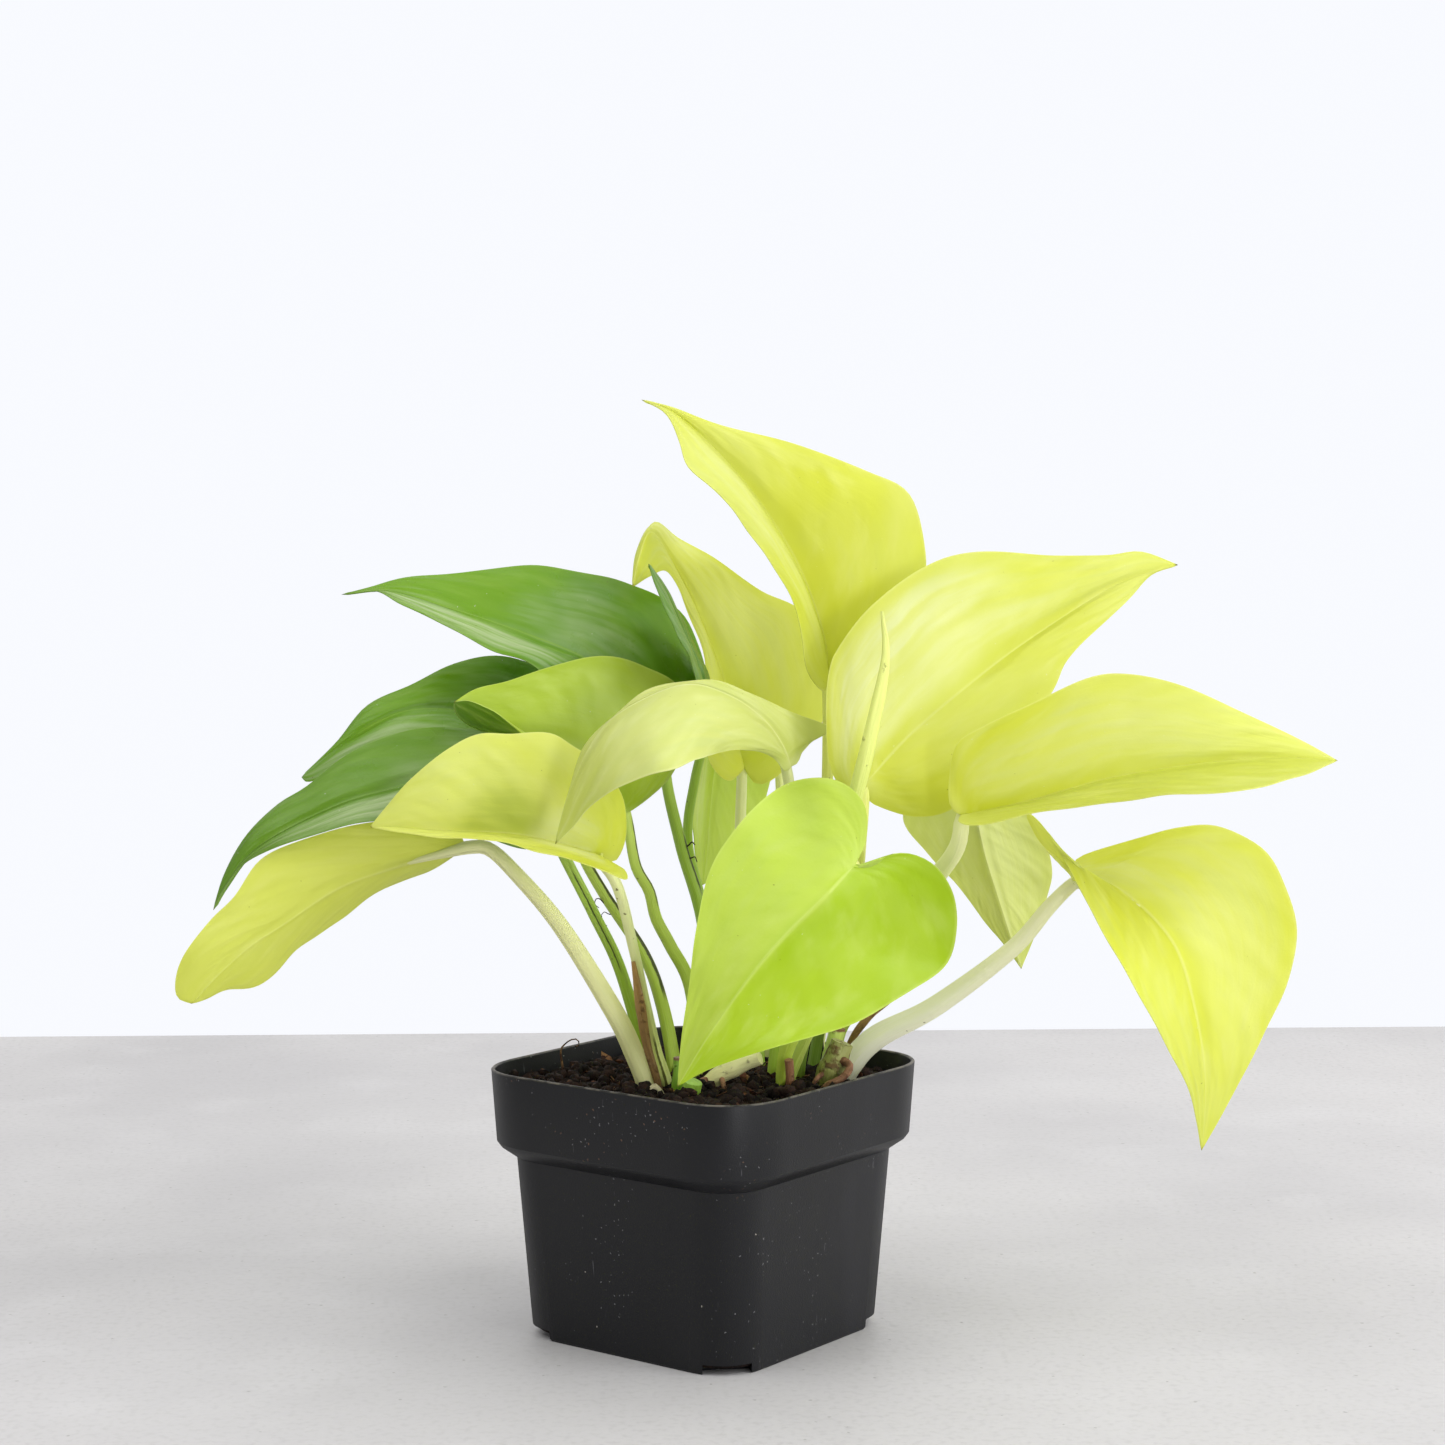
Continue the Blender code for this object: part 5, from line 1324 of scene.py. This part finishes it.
def fibres(draw):
    """Thin curled coir fibres and rootlets lying on the soil."""
    shapes = []
    for x, y, _ in soil_places(FIBRES, 7.0, draw):
        heading = draw.uniform(0, 2 * math.pi)
        step = draw.uniform(1.3, 2.6)
        route = []
        for _ in range(6):
            route.append((x, y, soil_height(x, y) + grain(x, y) + draw.uniform(0.2, 1.1)))
            heading += draw.normal(0, 0.5)
            x += step * math.cos(heading)
            y += step * math.sin(heading)
            if math.hypot(x, y) > 40.0:
                break
        if len(route) > 2:
            path = smooth_curve(route, np.linspace(0, 1, 14))
            shapes.append(tube_shape(path, np.linspace(0.22, 0.10, 14), 5, np.array((0, 0, 1.0)), 0))
    return joined(*shapes)


def add_soil_litter(draw):
    crumb = earth_material("soil_crumb", (0.08, 0.052, 0.042), (0.18, 0.112, 0.085),
                           (0.34, 0.23, 0.16), 0.05)
    bark = earth_material("soil_bark", (0.22, 0.13, 0.09), (0.44, 0.27, 0.19), (0.62, 0.46, 0.31), 0.2)
    coir = earth_material("soil_coir", (0.16, 0.10, 0.07), (0.34, 0.23, 0.16), (0.50, 0.38, 0.26), 0.2)
    add_piece("soil_crumbs", lumps(CRUMBS, 2.6, (0.5, 2.6), (1, 1, 1), draw), [crumb], "soil", crease=80.0)
    chunks = lumps(CHUNKS, 5.0, (1.6, 3.4), (1, 0.8, 0.6), draw)
    add_piece("soil_chunks", chunks, [crumb], "soil", crease=50.0)
    chips = lumps(CHIPS, 5.0, (1.2, 3.2), (1.3, 0.6, 0.28), draw)
    add_piece("soil_bark_chips", chips, [bark], "soil", crease=30.0)
    threads = joined(fibres(draw), hair_shape(0.35, RIM_ROOT, 0))
    add_piece("soil_fibres", threads, [coir], "soil", crease=80.0)


def add_floor():
    bpy.ops.mesh.primitive_plane_add(size=FLOOR_SIDE)
    floor = bpy.context.object
    floor.name = "floor"
    turn = math.radians(FLOOR_TURN)
    floor.rotation_euler = (0, 0, turn)
    back = FLOOR_SIDE / 2 - FLOOR_EDGE
    floor.location = (back * math.sin(turn), -back * math.cos(turn), 0)
    floor.data.materials.append(floor_material())


def aim(thing, target):
    direction = Vector(target) - thing.location
    thing.rotation_euler = direction.to_track_quat("-Z", "Y").to_euler()


def add_light():
    world = bpy.data.worlds.new("studio")
    bpy.context.scene.world = world
    world.use_nodes = True
    tree = world.node_tree
    light = tree.nodes["Background"]
    light.inputs["Color"].default_value = (1.0, 1.0, 1.0, 1.0)
    where = tree.nodes.new("ShaderNodeTexCoord")
    toward = tree.nodes.new("ShaderNodeVectorMath")
    toward.operation = "DOT_PRODUCT"
    toward.inputs[1].default_value = WORLD_TOWARD
    tree.links.new(where.outputs["Generated"], toward.inputs[0])
    rise = tree.nodes.new("ShaderNodeMapRange")
    for socket, value in zip(rise.inputs[1:5], (-0.85, 0.8, WORLD_LOW, WORLD_HIGH)):
        socket.default_value = value
    tree.links.new(toward.outputs["Value"], rise.inputs[0])
    tree.links.new(rise.outputs[0], light.inputs["Strength"])
    seen = tree.nodes.new("ShaderNodeBackground")
    seen.inputs["Color"].default_value = (*linear(WORLD_SEEN), 1.0)
    rays = tree.nodes.new("ShaderNodeLightPath")
    mixed = tree.nodes.new("ShaderNodeMixShader")
    tree.links.new(rays.outputs["Is Camera Ray"], mixed.inputs["Fac"])
    tree.links.new(light.outputs[0], mixed.inputs[1])
    tree.links.new(seen.outputs[0], mixed.inputs[2])
    tree.links.new(mixed.outputs[0], tree.nodes["World Output"].inputs["Surface"])
    for name, lamp in LAMPS.items():
        data = bpy.data.lights.new(name, "AREA")
        data.shape = "RECTANGLE"
        data.size, data.size_y = lamp["size"]
        data.energy = lamp["power"]
        made = bpy.data.objects.new(name, data)
        bpy.context.scene.collection.objects.link(made)
        made.location = lamp["place"]
        aim(made, LAMP_TARGET)


def add_camera():
    data = bpy.data.cameras.new("camera")
    data.sensor_width = SENSOR
    data.lens = SENSOR * CAMERA_FOCUS / IMAGE_SIDE
    camera = bpy.data.objects.new("camera", data)
    bpy.context.scene.collection.objects.link(camera)
    camera.location = CAMERA_PLACE
    camera.rotation_euler = (math.radians(CAMERA_TILT), 0, 0)
    bpy.context.scene.camera = camera
    bpy.context.scene.view_settings.view_transform = "Standard"


add_camera()
add_light()
add_floor()
add_pot()
add_soil()
add_leaves(np.random.default_rng(SEED))
add_stems()
add_soil_litter(np.random.default_rng(SEED + 1))
